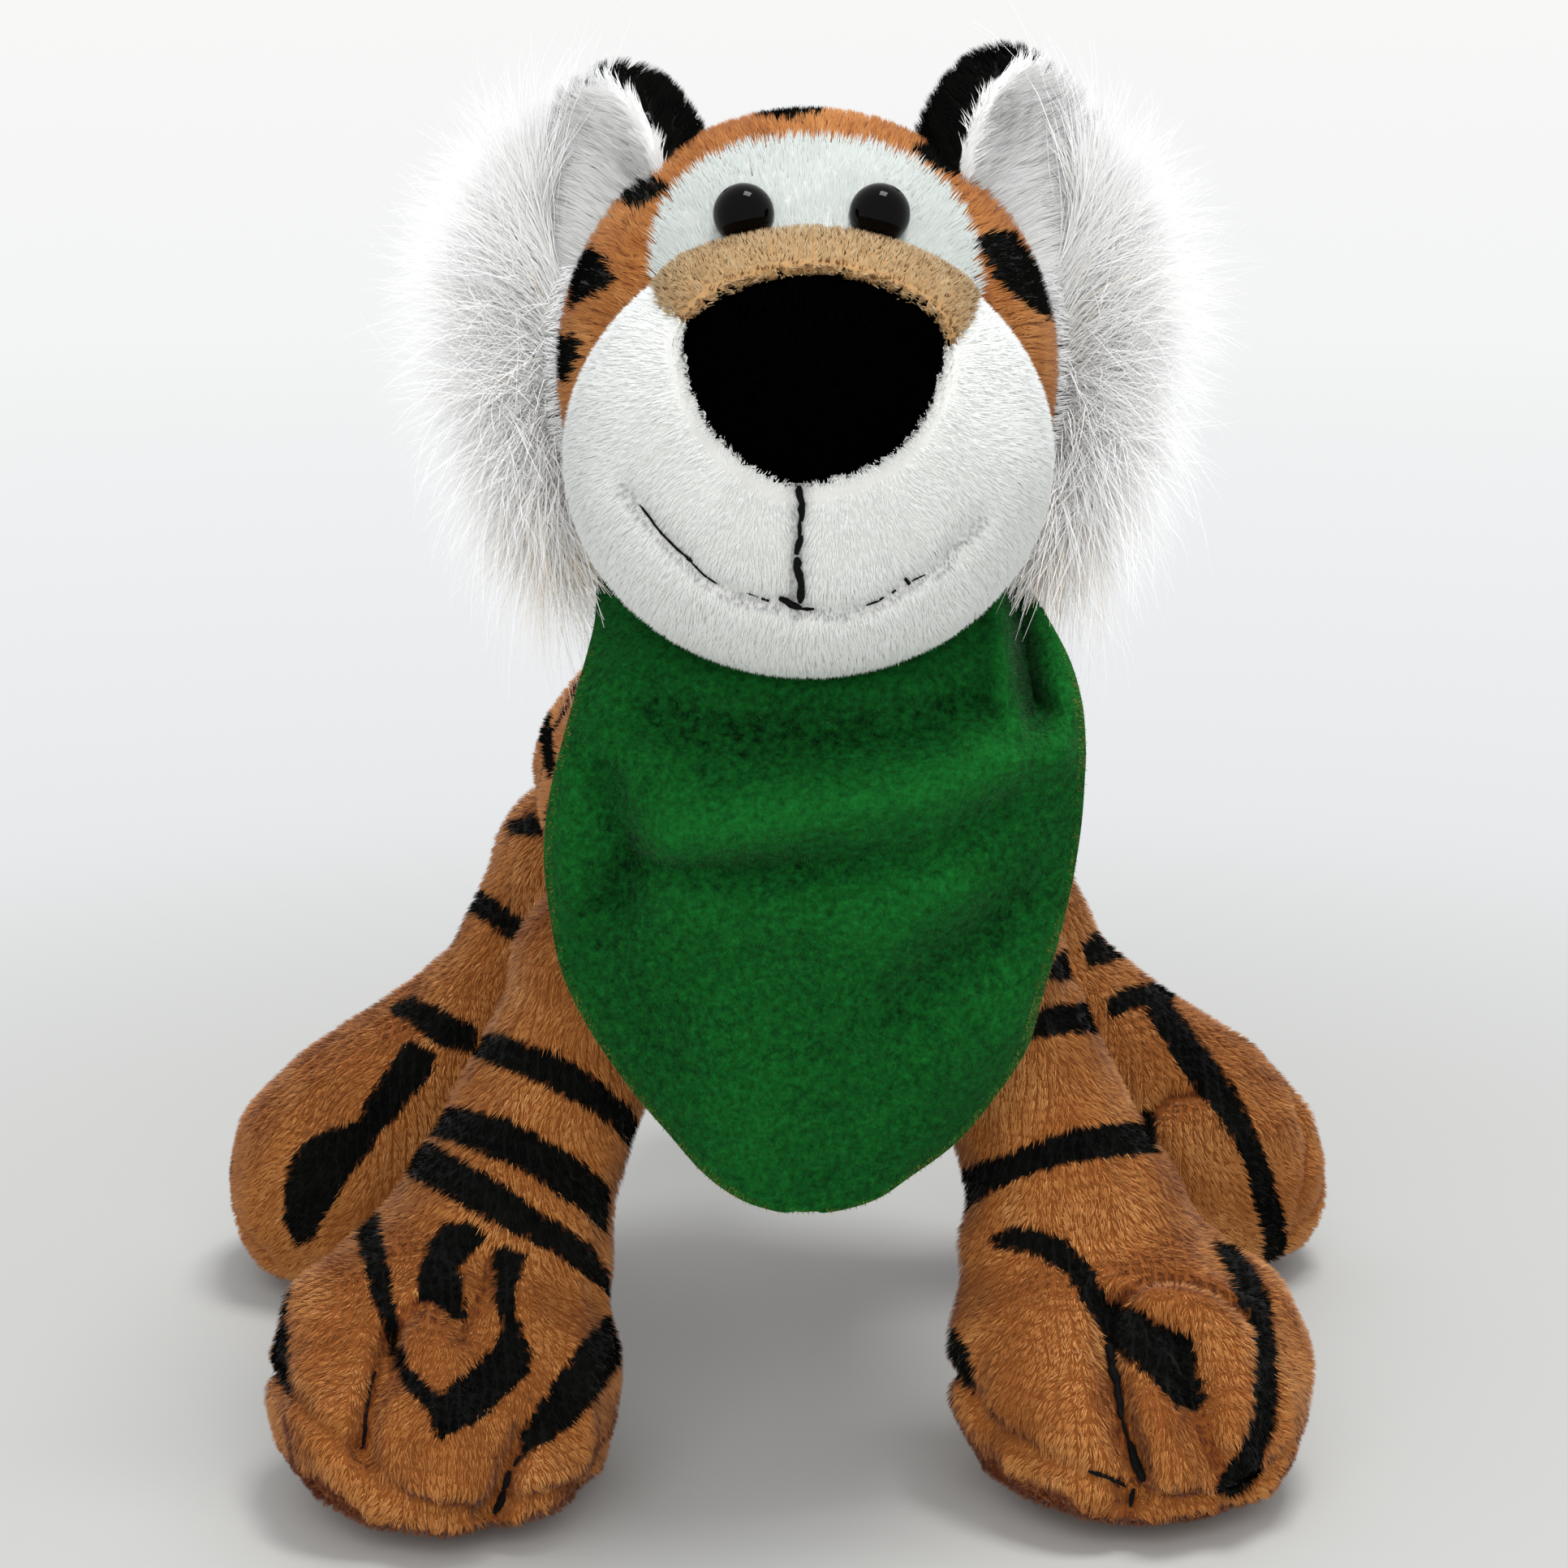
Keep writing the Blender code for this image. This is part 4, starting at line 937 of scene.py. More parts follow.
def one_way(way, count):
    """The same direction for every fibre."""
    return np.tile(np.array(way), (count, 1))


def drifting(roots, shade, seed, *ripples):
    """A shade that drifts over the cloth: each ripple is its height and its size."""
    for number, (height, size) in enumerate(ripples):
        shade = shade + height * waves(roots, size, seed + number)
    return shade


def in_seam(part, points, width=0.0009):
    """How deep in a sewn seam each place lies, from 0 to 1."""
    near = np.full(len(points), 1.0)
    for line in seams.get(part, ()):
        low, high = line.min(0) - 0.004, line.max(0) + 0.004
        close = np.where(((points > low) & (points < high)).all(1))[0]
        near[close] = np.minimum(near[close], nearest(points[close], line))
    return np.exp(-((near / width) ** 2))


def grow(name, roots, normals, flow, colours, shade, seed, length, width, lean, clump=0.0012,
         pull=0.35, steps=1, droop=0.0, jitter=0.14, swirl=0.22, soft=0.7, curl=0.0, speckle=0.6):
    """Ribbons from the roots: colours holds each fibre's palette, shade its place in it."""
    chance = np.random.default_rng(seed)
    count = len(roots)
    eddies = np.stack([waves(roots, 0.009, seed + i) for i in range(3)], 1) * swirl
    flow = along_cloth(flow, normals) + eddies + chance.normal(0.0, jitter, (count, 3))
    flow = along_cloth(flow, normals)
    lean = np.broadcast_to(lean, (count,)) + chance.normal(0.0, 0.10, count)
    way = unit(normals * np.cos(lean)[:, None] + flow * np.sin(lean)[:, None])
    reach = np.broadcast_to(length, (count,)) * chance.uniform(0.75, 1.2, count)
    tips = roots + way * reach[:, None]
    cells = np.floor(roots / clump + waves(roots, 0.011, seed + 5)[:, None] * 0.4).astype(np.int64)
    _, group = np.unique(cells, axis=0, return_inverse=True)
    group = group.reshape(-1)
    sizes = np.bincount(group)
    middles = np.stack([np.bincount(group, tips[:, i]) / sizes for i in range(3)], 1)
    tips = tips + (middles[group] - tips) * pull
    across = unit(np.cross(way, normals + chance.normal(0.0, 0.25, (count, 3))))
    outward = unit(np.cross(across, way))
    bow = unit(chance.normal(0.0, 1.0, (count, 3))) * (reach * curl)[:, None]
    phase, turns = chance.uniform(0.0, math.tau, count), chance.uniform(0.8, 1.6, count)
    rows, sides = [], []
    for step in range(steps + 1):
        share = step / steps
        middle = roots + (tips - roots) * share
        middle = middle + normals * (reach * 0.44 * share * (1.0 - share))[:, None]
        middle = middle + bow * (np.sin(phase + turns * math.pi * share) - np.sin(phase))[:, None]
        middle[:, 2] -= droop * share**2 * reach
        if step == 0:
            middle = middle - normals * 0.0003
        rows.append(middle)
        sides.append(across * (np.broadcast_to(width, (count,)) * (1.0 - share**2) / 2.0)[:, None])
    verts = []
    for middle, half in zip(rows[:-1], sides[:-1]):
        verts += [middle - half, middle + half]
    verts.append(rows[-1])
    per = 2 * steps + 1
    places = np.stack(verts, 1).reshape(-1, 3)
    first = np.arange(count, dtype=np.int64)[:, None] * per
    quads = [first + np.array([2 * i, 2 * i + 1, 2 * i + 3, 2 * i + 2]) for i in range(steps - 1)]
    last = first + np.array([per - 3, per - 2, per - 1])
    loops = np.concatenate(quads + [last], 1).reshape(-1)
    corners = np.tile([4] * (steps - 1) + [3], count)
    starts = np.concatenate([[0], np.cumsum(corners)[:-1]])
    mesh = bpy.data.meshes.new(name)
    mesh.vertices.add(len(places))
    mesh.vertices.foreach_set("co", places.ravel())
    mesh.loops.add(len(loops))
    mesh.loops.foreach_set("vertex_index", loops)
    mesh.polygons.add(len(corners))
    mesh.polygons.foreach_set("loop_start", starts)
    names = list(dict.fromkeys(colours))
    slot_of = {colour: tones * i for i, colour in enumerate(names)}
    for colour in names:
        for number in range(tones):
            mesh.materials.append(fibre_materials[colour, number])
    base = np.array([slot_of[colour] for colour in colours])
    level = np.clip(shade + chance.normal(0.0, speckle, count), 0.0, tones - 1.0)
    # Fibres of several steps are darker at the root and lighter at the tip: painted shade deep in
    # the pile, painted light at the tips.
    painted_root_shade = [0.0] if steps == 1 else np.linspace(-0.8, 0.8, steps)
    index = [base + np.clip(np.round(level + rise), 0, tones - 1) for rise in painted_root_shade]
    mesh.polygons.foreach_set("material_index", np.stack(index, 1).astype(np.int32).ravel())
    mesh.update(calc_edges=True)
    lit = unit(normals * soft + outward * (1.0 - soft))
    mesh.normals_split_custom_set_from_vertices(np.repeat(lit, per, axis=0).tolist())
    print(name, "fibres:", count, "triangles:", count * (2 * steps - 1))
    return add_object(name, mesh)


def uncovered(shell, others, middle, radius, reach=0.0010):
    """Leaves out the cloth that another part's surface covers closely, as inside a joint."""
    points, normals, _ = arrays(shell)
    free = np.ones(len(points), bool)
    near = np.where(np.linalg.norm(points - np.array(middle), axis=1) < radius)[0]
    for i in near:
        for other in others:
            hit, normal, _, _ = other.find_nearest(Vector(points[i]), reach)
            if hit is not None and Vector(normals[i]).dot(normal) < -0.2:
                free[i] = False
                break
            hit, normal, _, _ = other.ray_cast(Vector(points[i]), Vector(normals[i]), 0.02)
            if hit is not None and normal.dot(Vector(normals[i])) > 0.0:
                free[i] = False
                break
    return free


print("grower ready, tones:", tones)

# %% [markdown]
# ## Pile on the body, the legs and the tail
#
# The nap of plush is cut in one direction: along the back it runs to the tail, down the legs it
# runs to the paws, and on the paws it spreads over the toes.

# %% Body pile
joint_of = {
    "front_right": Vector((-0.0235, -0.0413, 0.068)),
    "front_left": Vector((0.0235, -0.0413, 0.068)),
    "hind_right": Vector((-0.0280, 0.0217, 0.066)),
    "hind_left": Vector((0.0280, 0.0217, 0.066)),
}
trees = {part: tree_of(shells[part]) for part in ("torso", "neck", "tail", *limbs)}
body_pile = {}


def colour_list(black, plain, dyed="black"):
    return np.where(black, dyed, plain).tolist()


def dyed_fibres(part, roots, normals, flow, seed):
    """Which fibres are black, read a little way along each one."""
    return striped(part, roots + along_cloth(flow, normals) * 0.0006, normals, seed)


def grow_limb(part, seed):
    joint = joint_of[part]
    free = uncovered(shells[part], [trees["torso"]], joint, radius=0.020)
    roots, normals = sprinkle(shells[part], per_mm2=13.0, seed=seed, allowed=free)
    above = roots[:, 2] > floor_gap + 0.0001
    roots, normals = roots[above], normals[above]
    paw = np.clip((0.030 - roots[:, 2]) / 0.014, 0.0, 1.0)[:, None]
    outward = roots - np.array((joint.x * 1.9, joint.y - 0.012, 0.0))
    outward[:, 2] = -0.004
    flow = one_way((0.0, -0.1, -1.0), len(roots)) * (1.0 - 0.7 * paw) + unit(outward) * paw * 0.9
    black = dyed_fibres(part, roots, normals, flow, seed)
    # Fibres in a seam are shorter and take lower tones of the darker seam palette: painted shade in
    # the crease.
    shaded_seam = in_seam(part, roots)
    shade = drifting(roots, 2.0, seed, (0.55, 0.016), (0.35, 0.004))
    # Tones also drop towards the floor over the lowest 6 mm of the paw: painted shade under the
    # paw.
    shade = shade - 1.6 * shaded_seam - 0.4 * np.clip((0.006 - roots[:, 2]) / 0.006, 0.0, 1.0)
    colours = colour_list(black, np.where(shaded_seam > 0.35, "shaded_seam", "brown"))
    return grow(
        part + "_leg_pile", roots, normals, flow, colours, shade, seed,
        length=0.0015 * (1.0 - 0.45 * shaded_seam), width=0.00020, lean=1.0,
        clump=0.0015, pull=0.42, swirl=0.32, speckle=0.75,
    )


for number, part in enumerate(limbs):
    body_pile[part] = grow_limb(part, 20 + number * 10)

# %% Torso, neck and tail pile
def grow_trunk(part, roots, normals, way, dye_seed, shade, **look):
    flow = one_way(way, len(roots))
    colours = colour_list(dyed_fibres(part, roots, normals, flow, dye_seed), "brown")
    body_pile[part] = grow(part + "_pile", roots, normals, flow, colours, shade, **look)


free = uncovered(shells["torso"], [trees["neck"]], neck_place, radius=0.027)
free &= uncovered(shells["torso"], [trees["tail"]], tail_root, radius=0.012)
for part in limbs:
    free &= uncovered(shells["torso"], [trees[part]], joint_of[part], radius=0.021)
roots, normals = sprinkle(shells["torso"], per_mm2=9.0, seed=71, allowed=free)
shade = drifting(roots, 2.0, 72, (0.55, 0.016), (0.35, 0.004))
grow_trunk("torso", roots, normals, (0.0, 1.0, -0.35), 71, shade,
           seed=74, length=0.0018, width=0.00023, lean=1.05)

free = uncovered(shells["neck"], [trees["torso"]], neck_place, radius=0.030)
roots, normals = sprinkle(shells["neck"], per_mm2=8.0, seed=81, allowed=free)
outside = ball_share(face_own(roots), skull_middle, skull_halves) > 1.0
roots, normals = roots[outside], normals[outside]
shade = drifting(roots, 1.7, 82, (0.5, 0.012))
grow_trunk("neck", roots, normals, (0.0, 0.3, -1.0), 81, shade,
           seed=83, length=0.0016, width=0.00023, lean=1.10)

free = uncovered(shells["tail"], [trees["torso"]], tail_root, radius=0.012)
roots, normals = sprinkle(shells["tail"], per_mm2=12.0, seed=91, allowed=free)
shade = drifting(roots, 2.0, 92, (0.5, 0.010))
grow_trunk("tail", roots, normals, (0.0, 0.7, -0.8), 91, shade,
           seed=93, length=0.0018, width=0.00020, lean=1.05)

# %% [markdown]
# ## Pile on the head
#
# The face is brushed away from the nose, and only the fibres at the nose's very edge lean over it.
# The white eye patch has a longer pile that stands up over the brown above it, the bridge is a
# short curled pile, and the nose is a close velvet.

# %% Face pile
head_shell = shells["head"]
head_places, _, _ = arrays(head_shell)
out_of_neck = np.linalg.norm(head_places - np.array(neck_place), axis=1) > 0.0215
eye_places = [face_place((0.0084 * side + 0.0004, -0.0455, 0.0471)) for side in (-1, 1)]
eye_radius = 0.0038
nose_middle = np.array(face_place((0.0, -0.0690, 0.0270)))
roots, normals = sprinkle(head_shell, per_mm2=14.0, seed=101, allowed=out_of_neck)
clear = np.ones(len(roots), bool)
for eye in eye_places:
    clear &= np.linalg.norm(roots - np.array(eye), axis=1) > eye_radius + 0.0001
face_pile_roots, face_pile_normals = roots[clear], normals[clear]
face_pile_region = region_of(face_pile_roots)
chance = np.random.default_rng(132)


def face_roots(region, share):
    picked = (face_pile_region == region) & (chance.random(len(face_pile_roots)) < share)
    roots, normals = face_pile_roots[picked], face_pile_normals[picked]
    away = roots - nose_middle
    return roots, normals, away


head_pile = {}
muzzle_fringe, bridge_fringe = 15.0, 16.0
roots, normals, away = face_roots(on_head, 0.70)
colours = colour_list(dyed_fibres("head", roots, normals, away, 101), "brown")
# The head's pile sits lower in its palette than the body's: painted shade against the strong light
# from above.
shade = drifting(roots, 1.7, 102, (0.55, 0.014), (0.4, 0.004))
head_pile["head"] = grow(
    "head_pile", roots, normals, away, colours, shade, 104, length=0.0018, width=0.00021,
    lean=0.95, clump=0.0015, pull=0.45, jitter=0.28, swirl=0.45,
)
roots, normals, away = face_roots(on_snout, 0.85)
shaded_seam = in_seam("head", roots, 0.0010)
to_nose = line_distance(nose_outline, *pixels(roots))
away = np.where((to_nose < muzzle_fringe)[:, None], -away, away) + np.array((0.0, 0.0, -0.004))
# Fibres in the smile's dents take the grey dent palette and lower tones: painted shade in the
# crease.
colours = np.where(shaded_seam > 0.45, "shaded_dent", "white").tolist()
shade = drifting(roots, 3.0, 112, (0.3, 0.012)) - 1.6 * shaded_seam
head_pile["snout"] = grow(
    "muzzle_pile", roots, normals, away, colours, shade, 113, length=0.0013 * (1.0 - 0.4 * shaded_seam),
    width=0.00021, lean=1.05, clump=0.0010, pull=0.2, speckle=0.4,
)
roots, normals, away = face_roots(on_patch, 0.80)
away = away + np.array((0.0, 0.0, 0.006))
shade = drifting(roots, 2.6, 122, (0.4, 0.010))
head_pile["patch"] = grow(
    "eye_patch_pile", roots, normals, away, ["patch"] * len(roots), shade, 123, length=0.0021,
    width=0.00020, lean=0.95, jitter=0.2, speckle=0.45,
)
roots, normals, away = face_roots(on_bridge, 1.0)
shade = drifting(roots, 1.5, 133, (0.6, 0.0022))
close = line_distance(nose_outline, *pixels(roots)) < bridge_fringe
whirl = chance.normal(0.0, 1.0, (len(roots), 3)) * np.where(close, 0.5, 1.0)[:, None]
whirl += np.where(close, -1.6, 0.8)[:, None] * unit(away)
head_pile["bridge"] = grow(
    "bridge_pile", roots, normals, whirl, ["tan"] * len(roots), shade, 134,
    length=np.where(close, 0.0019, 0.0012), width=0.00024, lean=0.9, clump=0.0010, pull=0.6,
)
roots, normals, away = face_roots(on_nose, 1.0)
whirl = chance.normal(0.0, 1.0, (len(roots), 3))
shade = drifting(roots, 1.4, 142, (0.5, 0.008))
head_pile["nose"] = grow(
    "nose_pile", roots, normals, whirl, ["nap"] * len(roots), shade, 143, length=0.0007,
    width=0.00020, lean=0.4, clump=0.0010, pull=0.2,
)

# %% [markdown]
# ## Ear pile and side tufts
#
# The ears are white inside, where longer hair fills the hollow, and black behind. The tufts are
# the longest pile of all: fine white hair that fans out beside the cheeks, dense near the head and
# wispy at its ends, up past the ears and down to the jaw. The picture gives both edges of that
# fan, the dense and the wispy one, as distances from the middle of the head at each angle, and
# each hair ends somewhere between them.

# %% Ears
def face_way(across, back, up):
    """A direction given in the face's own directions, in the room's."""
    return np.array(face_turn @ Vector((across, back, up)))


for number, (hand, side) in enumerate(hands):
    roots, normals = sprinkle(shells[hand + "_ear"], per_mm2=15.0, seed=151 + number)
    front = ear_front(side, roots)
    own = ear_own(side, roots)
    outer = 0.5 + 0.9 * own[:, 0] * side / ear_halves.x - 0.8 * own[:, 2] / ear_halves.z
    outer = np.clip(outer, 0.0, 1.0)
    up = one_way(face_way(0.5 * side, -0.35, 1.0), len(roots))
    out = one_way(face_way(1.2 * side, -0.2, 0.45), len(roots))
    inward = one_way(face_way(-0.8 * side, -0.1, 1.0), len(roots))
    flow = np.where(front[:, None], up + (out - up) * outer[:, None], inward)
    shade = drifting(roots, np.where(front, 2.6, 1.6), 153, (0.5, 0.005))
    head_pile[hand + "_ear"] = grow(
        hand + "_ear_pile", roots, normals, flow, colour_list(front, "black", "snow"), shade,
        155 + number, length=np.where(front, 0.0030 + 0.0050 * outer, 0.0028), width=0.00019,
        lean=np.where(front, 0.75, 0.9), jitter=0.36, pull=0.45, clump=0.0022, swirl=0.45, soft=0.6,
    )

# %% Side tufts
fan_angles = (100.0, 131.0, 151.0, 162.0, 175.0, 189.0, 203.0, 215.0, 227.0, 240.0)
dense_edge = (0.0500, 0.0516, 0.0518, 0.0492, 0.0452, 0.0432, 0.0434, 0.0440, 0.0446, 0.0425)
wispy_edge = (0.0555, 0.0600, 0.0598, 0.0588, 0.0566, 0.0545, 0.0535, 0.0545, 0.0560, 0.0545)


def tuft(name, hand, side, per_mm2, seed, wisps):
    """Long hair that fans out beside a cheek: the even mass, or the thin wisps over its edge."""
    roots, _ = sprinkle(shells[hand + "_mane"], per_mm2, seed)
    own = face_own(roots) - np.array(skull_middle)
    chance = np.random.default_rng(seed + 1)
    angle = np.degrees(np.arctan2(own[:, 2], -np.abs(own[:, 0]))) % 360.0
    kept = np.hypot(own[:, 0], own[:, 2]) < 0.0405 + 0.002 * chance.random(len(own))
    kept &= chance.random(len(own)) < np.interp(angle, (200.0, 218.0, 236.0), (1.0, 0.7, 0.3))
    roots, own, angle = roots[kept], own[kept], angle[kept]
    count = len(roots)
    aim = 180.0 + (angle - 180.0) * 1.32 + chance.normal(0.0, 13.0 if wisps else 6.0, count)
    dense = np.interp(aim, fan_angles, dense_edge)
    wispy = np.interp(aim, fan_angles, wispy_edge)
    if wisps:
        target = dense + (wispy - dense) * chance.random(count)
    else:
        target = dense * chance.uniform(0.80, 1.04, count)
    aim = np.radians(aim)
    tip = np.stack([-np.cos(aim) * side * target, own[:, 1], np.sin(aim) * target], 1)
    tip[:, 1] += chance.normal(0.0, 0.0045, count) - 0.0015
    flow = tip - own
    length = np.linalg.norm(flow, axis=1)
    flow = unit(flow) @ np.array(face_turn).T
    low = np.clip((-0.013 - own[:, 2]) / 0.014, 0.0, 1.0)
    colours = colour_list(chance.random(count) < 0.03 + 0.85 * low, "snow", "cream")
    shade = drifting(roots, 2.9, 166, (0.3, 0.010))
    away = along_cloth(one_way(face_way(0.3 * side, -0.9, 0.6), count), flow)
    look = wisp_look if wisps else mass_look
    return grow(
        name, roots, away, flow, colours, shade, seed + 2, length=length, lean=math.pi / 2,
        clump=0.0022, swirl=0.10, soft=0.9, **look,
    )


mass_look = dict(width=0.00014, pull=0.10, steps=3, droop=0.05, jitter=0.03, curl=0.02)
wisp_look = dict(width=0.00009, pull=0.22, steps=6, droop=0.10, jitter=0.05, curl=0.06)
for number, (hand, side) in enumerate(hands):
    head_pile[hand + "_mane"] = tuft(hand + "_mane_pile", hand, side, 13.0, 161 + number, False)
    head_pile[hand + "_wisps"] = tuft(hand + "_mane_wisps", hand, side, 5.5, 171 + number, True)
    roots, normals = sprinkle(shells[hand + "_mane"], per_mm2=10.0, seed=181 + number)
    own = face_own(roots) - np.array(skull_middle)
    close = np.hypot(own[:, 0], own[:, 2]) < 0.0355
    roots, normals, own = roots[close], normals[close], own[close]
    inward = own * np.array((-1.0, 0.0, -0.3)) + np.array((0.0, -0.012, 0.0))
    head_pile[hand + "_edge"] = grow(
        hand + "_mane_edge", roots, normals, inward @ np.array(face_turn).T,
        ["snow"] * len(roots), np.full(len(roots), 2.8), 183 + number, length=0.0046,
        width=0.00014, lean=0.85, jitter=0.3, soft=0.9, steps=2,
    )

# %% [markdown]
# ## Cutting the head's shell into panels
#
# The shell is still one skin. Each panel becomes its own piece of cloth: a copy keeps only the
# faces of that panel, and Solidify gives it the thickness of the backing, inwards, so that its
# outer face stays where the fibres stand.

# %% Panels
def panel(name, region, material):
    made = add_object(name, head_shell.data.copy())
    mesh = made.data
    choose(made)
    bpy.ops.object.mode_set(mode="EDIT")
    bpy.ops.mesh.select_mode(type="FACE")
    bpy.ops.mesh.select_all(action="DESELECT")
    end_edit()
    drop = []
    for polygon in mesh.polygons:
        votes = [head_region[i] for i in polygon.vertices]
        keep = max(set(votes), key=votes.count) == region
        keep = keep and all(out_of_neck[i] for i in polygon.vertices)
        drop.append(not keep)
    mesh.polygons.foreach_set("select", drop)
    bpy.ops.object.mode_set(mode="EDIT")
    bpy.ops.mesh.delete(type="FACE")
    end_edit()
    wall = made.modifiers.new("backing", "SOLIDIFY")
    wall.thickness, wall.offset = 0.0009, -1.0
    apply_all(made)
    mesh.materials.clear()
    mesh.materials.append(material)
    print(name, "faces:", len(mesh.polygons))
    return made


panels = {
    "head": panel("head_panel", on_head, brown_backing),
    "snout": panel("muzzle_panel", on_snout, white_backing),
    "patch": panel("eye_patch_panel", on_patch, white_backing),
    "bridge": panel("bridge_panel", on_bridge, tan_backing),
    "nose": panel("nose_panel", on_nose, nose_backing),
}
bpy.data.objects.remove(head_shell, do_unlink=True)
del shells["head"]

# %% [markdown]
# ## Eyes
#
# The eyes are glossy black beads pressed into the pile. A ball is cut flat at the back, where it
# sits on the face, and a small moulded rim runs round the cut. The gloss comes from a very smooth
# surface that mirrors the window lamp.

# %% Bead eyes
bead, _, _ = new_material(
    "black_bead", {"Base Color": linear(3, 3, 3), "Roughness": 0.04, "Specular IOR Level": 0.10}
)
flat_at, rim_width, rim_depth = 0.45, 0.0006, 0.0012
eyes = {}
for (hand, _), place in zip(hands, eye_places):
    eyes[hand] = eye = ordered(ball(hand + "_bead_eye", 56, 36, eye_radius))
    edit_all()
    bpy.ops.mesh.bisect(
        plane_co=(0.0, eye_radius * flat_at, 0.0), plane_no=(0.0, 1.0, 0.0), clear_outer=True,
        use_fill=True,
    )
    bpy.ops.mesh.inset(thickness=rim_width)
    bpy.ops.transform.translate(value=(0.0, rim_depth, 0.0))
    end_edit()
    eye.data.transform(Matrix.Translation(place) @ face_turn.to_4x4())
    eye.data.shade_smooth()
    eye.data.set_sharp_from_angle(angle=math.radians(40))
    eye.data.materials.append(bead)
print("eyes at", [round(1000 * v, 1) for v in eye_places[0]])

# %% [markdown]
# ## Threads
#
# The mouth and the toes are sewn with black thread that sinks into the pile. Each is a curve with a
# round bevel, laid on the cloth and made a mesh. A little waviness keeps it from looking drawn.

# %% Sewn threads
thread_material, tree, shader = new_material(
    "black_thread", {"Roughness": 0.8, "Specular IOR Level": 0.1}
)
twist = add_node(tree, "TexNoise", {"Scale": 1800.0})
tint = colour_mix(tree, {6: linear(3, 3, 4), 7: linear(17, 17, 19)})
by_object(tree, twist)
wire(tree, (twist, "Fac", tint, "Factor"), (tint, 2, shader, "Base Color"))


def sewn(name, surface, stitches, lift):
    """Stitches of thread on a surface: each row is a stitch's radius and its picture places."""
    curve = bpy.data.curves.new(name, "CURVE")
    curve.dimensions = "3D"
    curve.bevel_depth = 1.0
    curve.bevel_resolution = 2
    curve.use_fill_caps = True
    chance = np.random.default_rng(len(stitches))
    for radius, *places in stitches:
        line = line_on(surface, places)
        line = line + toward_camera(line) * lift + chance.normal(0.0, radius * 0.15, line.shape)
        spline = curve.splines.new("POLY")
        spline.points.add(len(line) - 1)
        for number, (point, spot) in enumerate(zip(spline.points, line)):
            end = 0.6 if number in (0, len(line) - 1) else 1.0
            point.co = (*spot, 1.0)
            point.radius = radius * end * chance.uniform(0.85, 1.15)
    choose(add_object(name, curve))
    bpy.ops.object.convert(target="MESH")
    made = bpy.context.object
    made.data.materials.clear()
    made.data.materials.append(thread_material)
    made.data.shade_smooth()
    return made


# Each thread has the solid it stands for, its name, where it lies, its lift and its stitches.
thread_plan = (
    ("mouth_line", "mouth_thread", "snout", 0.0009, (
        (0.00042, 984, 598, 985, 612, 988, 620, 987, 642),
        (0.00024, 985, 640, 985, 662),
        (0.00044, 987, 660, 983, 672, 981, 682),
        (0.00046, 981, 688, 983, 700, 987, 716, 987, 742),
        (0.00040, 961, 737, 975, 744, 989, 749),
        (0.00022, 986, 750, 1003, 751),
    )),
    ("right_smile", "right_smile_thread", "snout", 0.0003, (
        (0.00016, 788, 622, 803, 641, 815, 657, 835, 677, 846, 686),
        (0.00030, 843, 684, 853, 693),
        (0.00014, 851, 692, 868, 709, 884, 720),
        (0.00012, 920, 731, 934, 736),
        (0.00026, 938, 737, 948, 741),
    )),
    ("left_smile", "left_smile_thread", "snout", 0.0003, (
        (0.00012, 1067, 746, 1084, 740),
        (0.00022, 1084, 739, 1089, 736),
        (0.00024, 1099, 730, 1104, 727),
        (0.00038, 1115, 712, 1121, 719),
        (0.00011, 1123, 716, 1140, 708),
    )),
    ("front_right_toe_stitch_outer", "front_right_outer_toe_thread", "front_right", 0.0003, (
        (0.00026, 463, 1690, 456, 1712, 451, 1740, 448, 1784),
        (0.00020, 450, 1784, 444, 1784),
    )),
    ("front_right_toe_stitch_inner", "front_right_inner_toe_thread", "front_right", 0.0011, (
        (0.00030, 640, 1794, 634, 1806),
        (0.00044, 628, 1812, 620, 1836),
        (0.00050, 621, 1838, 610, 1864),
    )),
    ("front_left_toe_stitch_outer", "front_left_outer_toe_thread", "front_left", 0.0011, (
        (0.00064, 1366, 1655, 1371, 1682, 1377, 1706),
        (0.00048, 1377, 1704, 1380, 1726, 1382, 1748),
        (0.00024, 1382, 1746, 1386, 1762, 1392, 1778),
        (0.00060, 1392, 1776, 1399, 1800, 1407, 1824),
        (0.00040, 1396, 1834, 1393, 1856),
    )),
    ("front_left_toe_stitch_inner", "front_left_inner_toe_thread", "front_left", 0.0009, (
        (0.00030, 1341, 1813, 1365, 1820, 1388, 1831),
    )),
)
threads = {}
for solid, name, part, lift, stitches in thread_plan:
    surface = panels[part] if part in panels else shells[part]
    threads[solid] = sewn(name, tree_of(surface), stitches, lift)
print("threads:", len(threads))

# %% [markdown]
# ## The neckerchief
#
# The neckerchief is a shield of green felt that hangs from a band round the neck. Its outline is
# read off the picture, row by row, and laid at the depth of the chest. The folds are soft ridges
# and valleys along lines of the picture, and the pleat at the right is one deep valley. The band
# round the neck carries the same cloth on, and Solidify gives it all the thickness of felt. A
# nap of very short fibres covers the front, yellow-green along the cut edge.

# %% Neckerchief outline and folds
left_edge = (
    690, 743, 735, 738, 781, 734, 886, 705, 969, 684, 1039, 675, 1098, 678, 1186, 693, 1262, 728,
    1338, 779, 1393, 827, 1438, 868, 1468, 909, 1484, 946, 1492, 978,
)
right_edge = (
    690, 1232, 735, 1272, 781, 1299, 834, 1320, 904, 1332, 1004, 1330, 1098, 1315, 1156, 1299,
    1221, 1280, 1291, 1260, 1344, 1227, 1403, 1178, 1447, 1118, 1472, 1082, 1486, 1042, 1492, 1004,
)
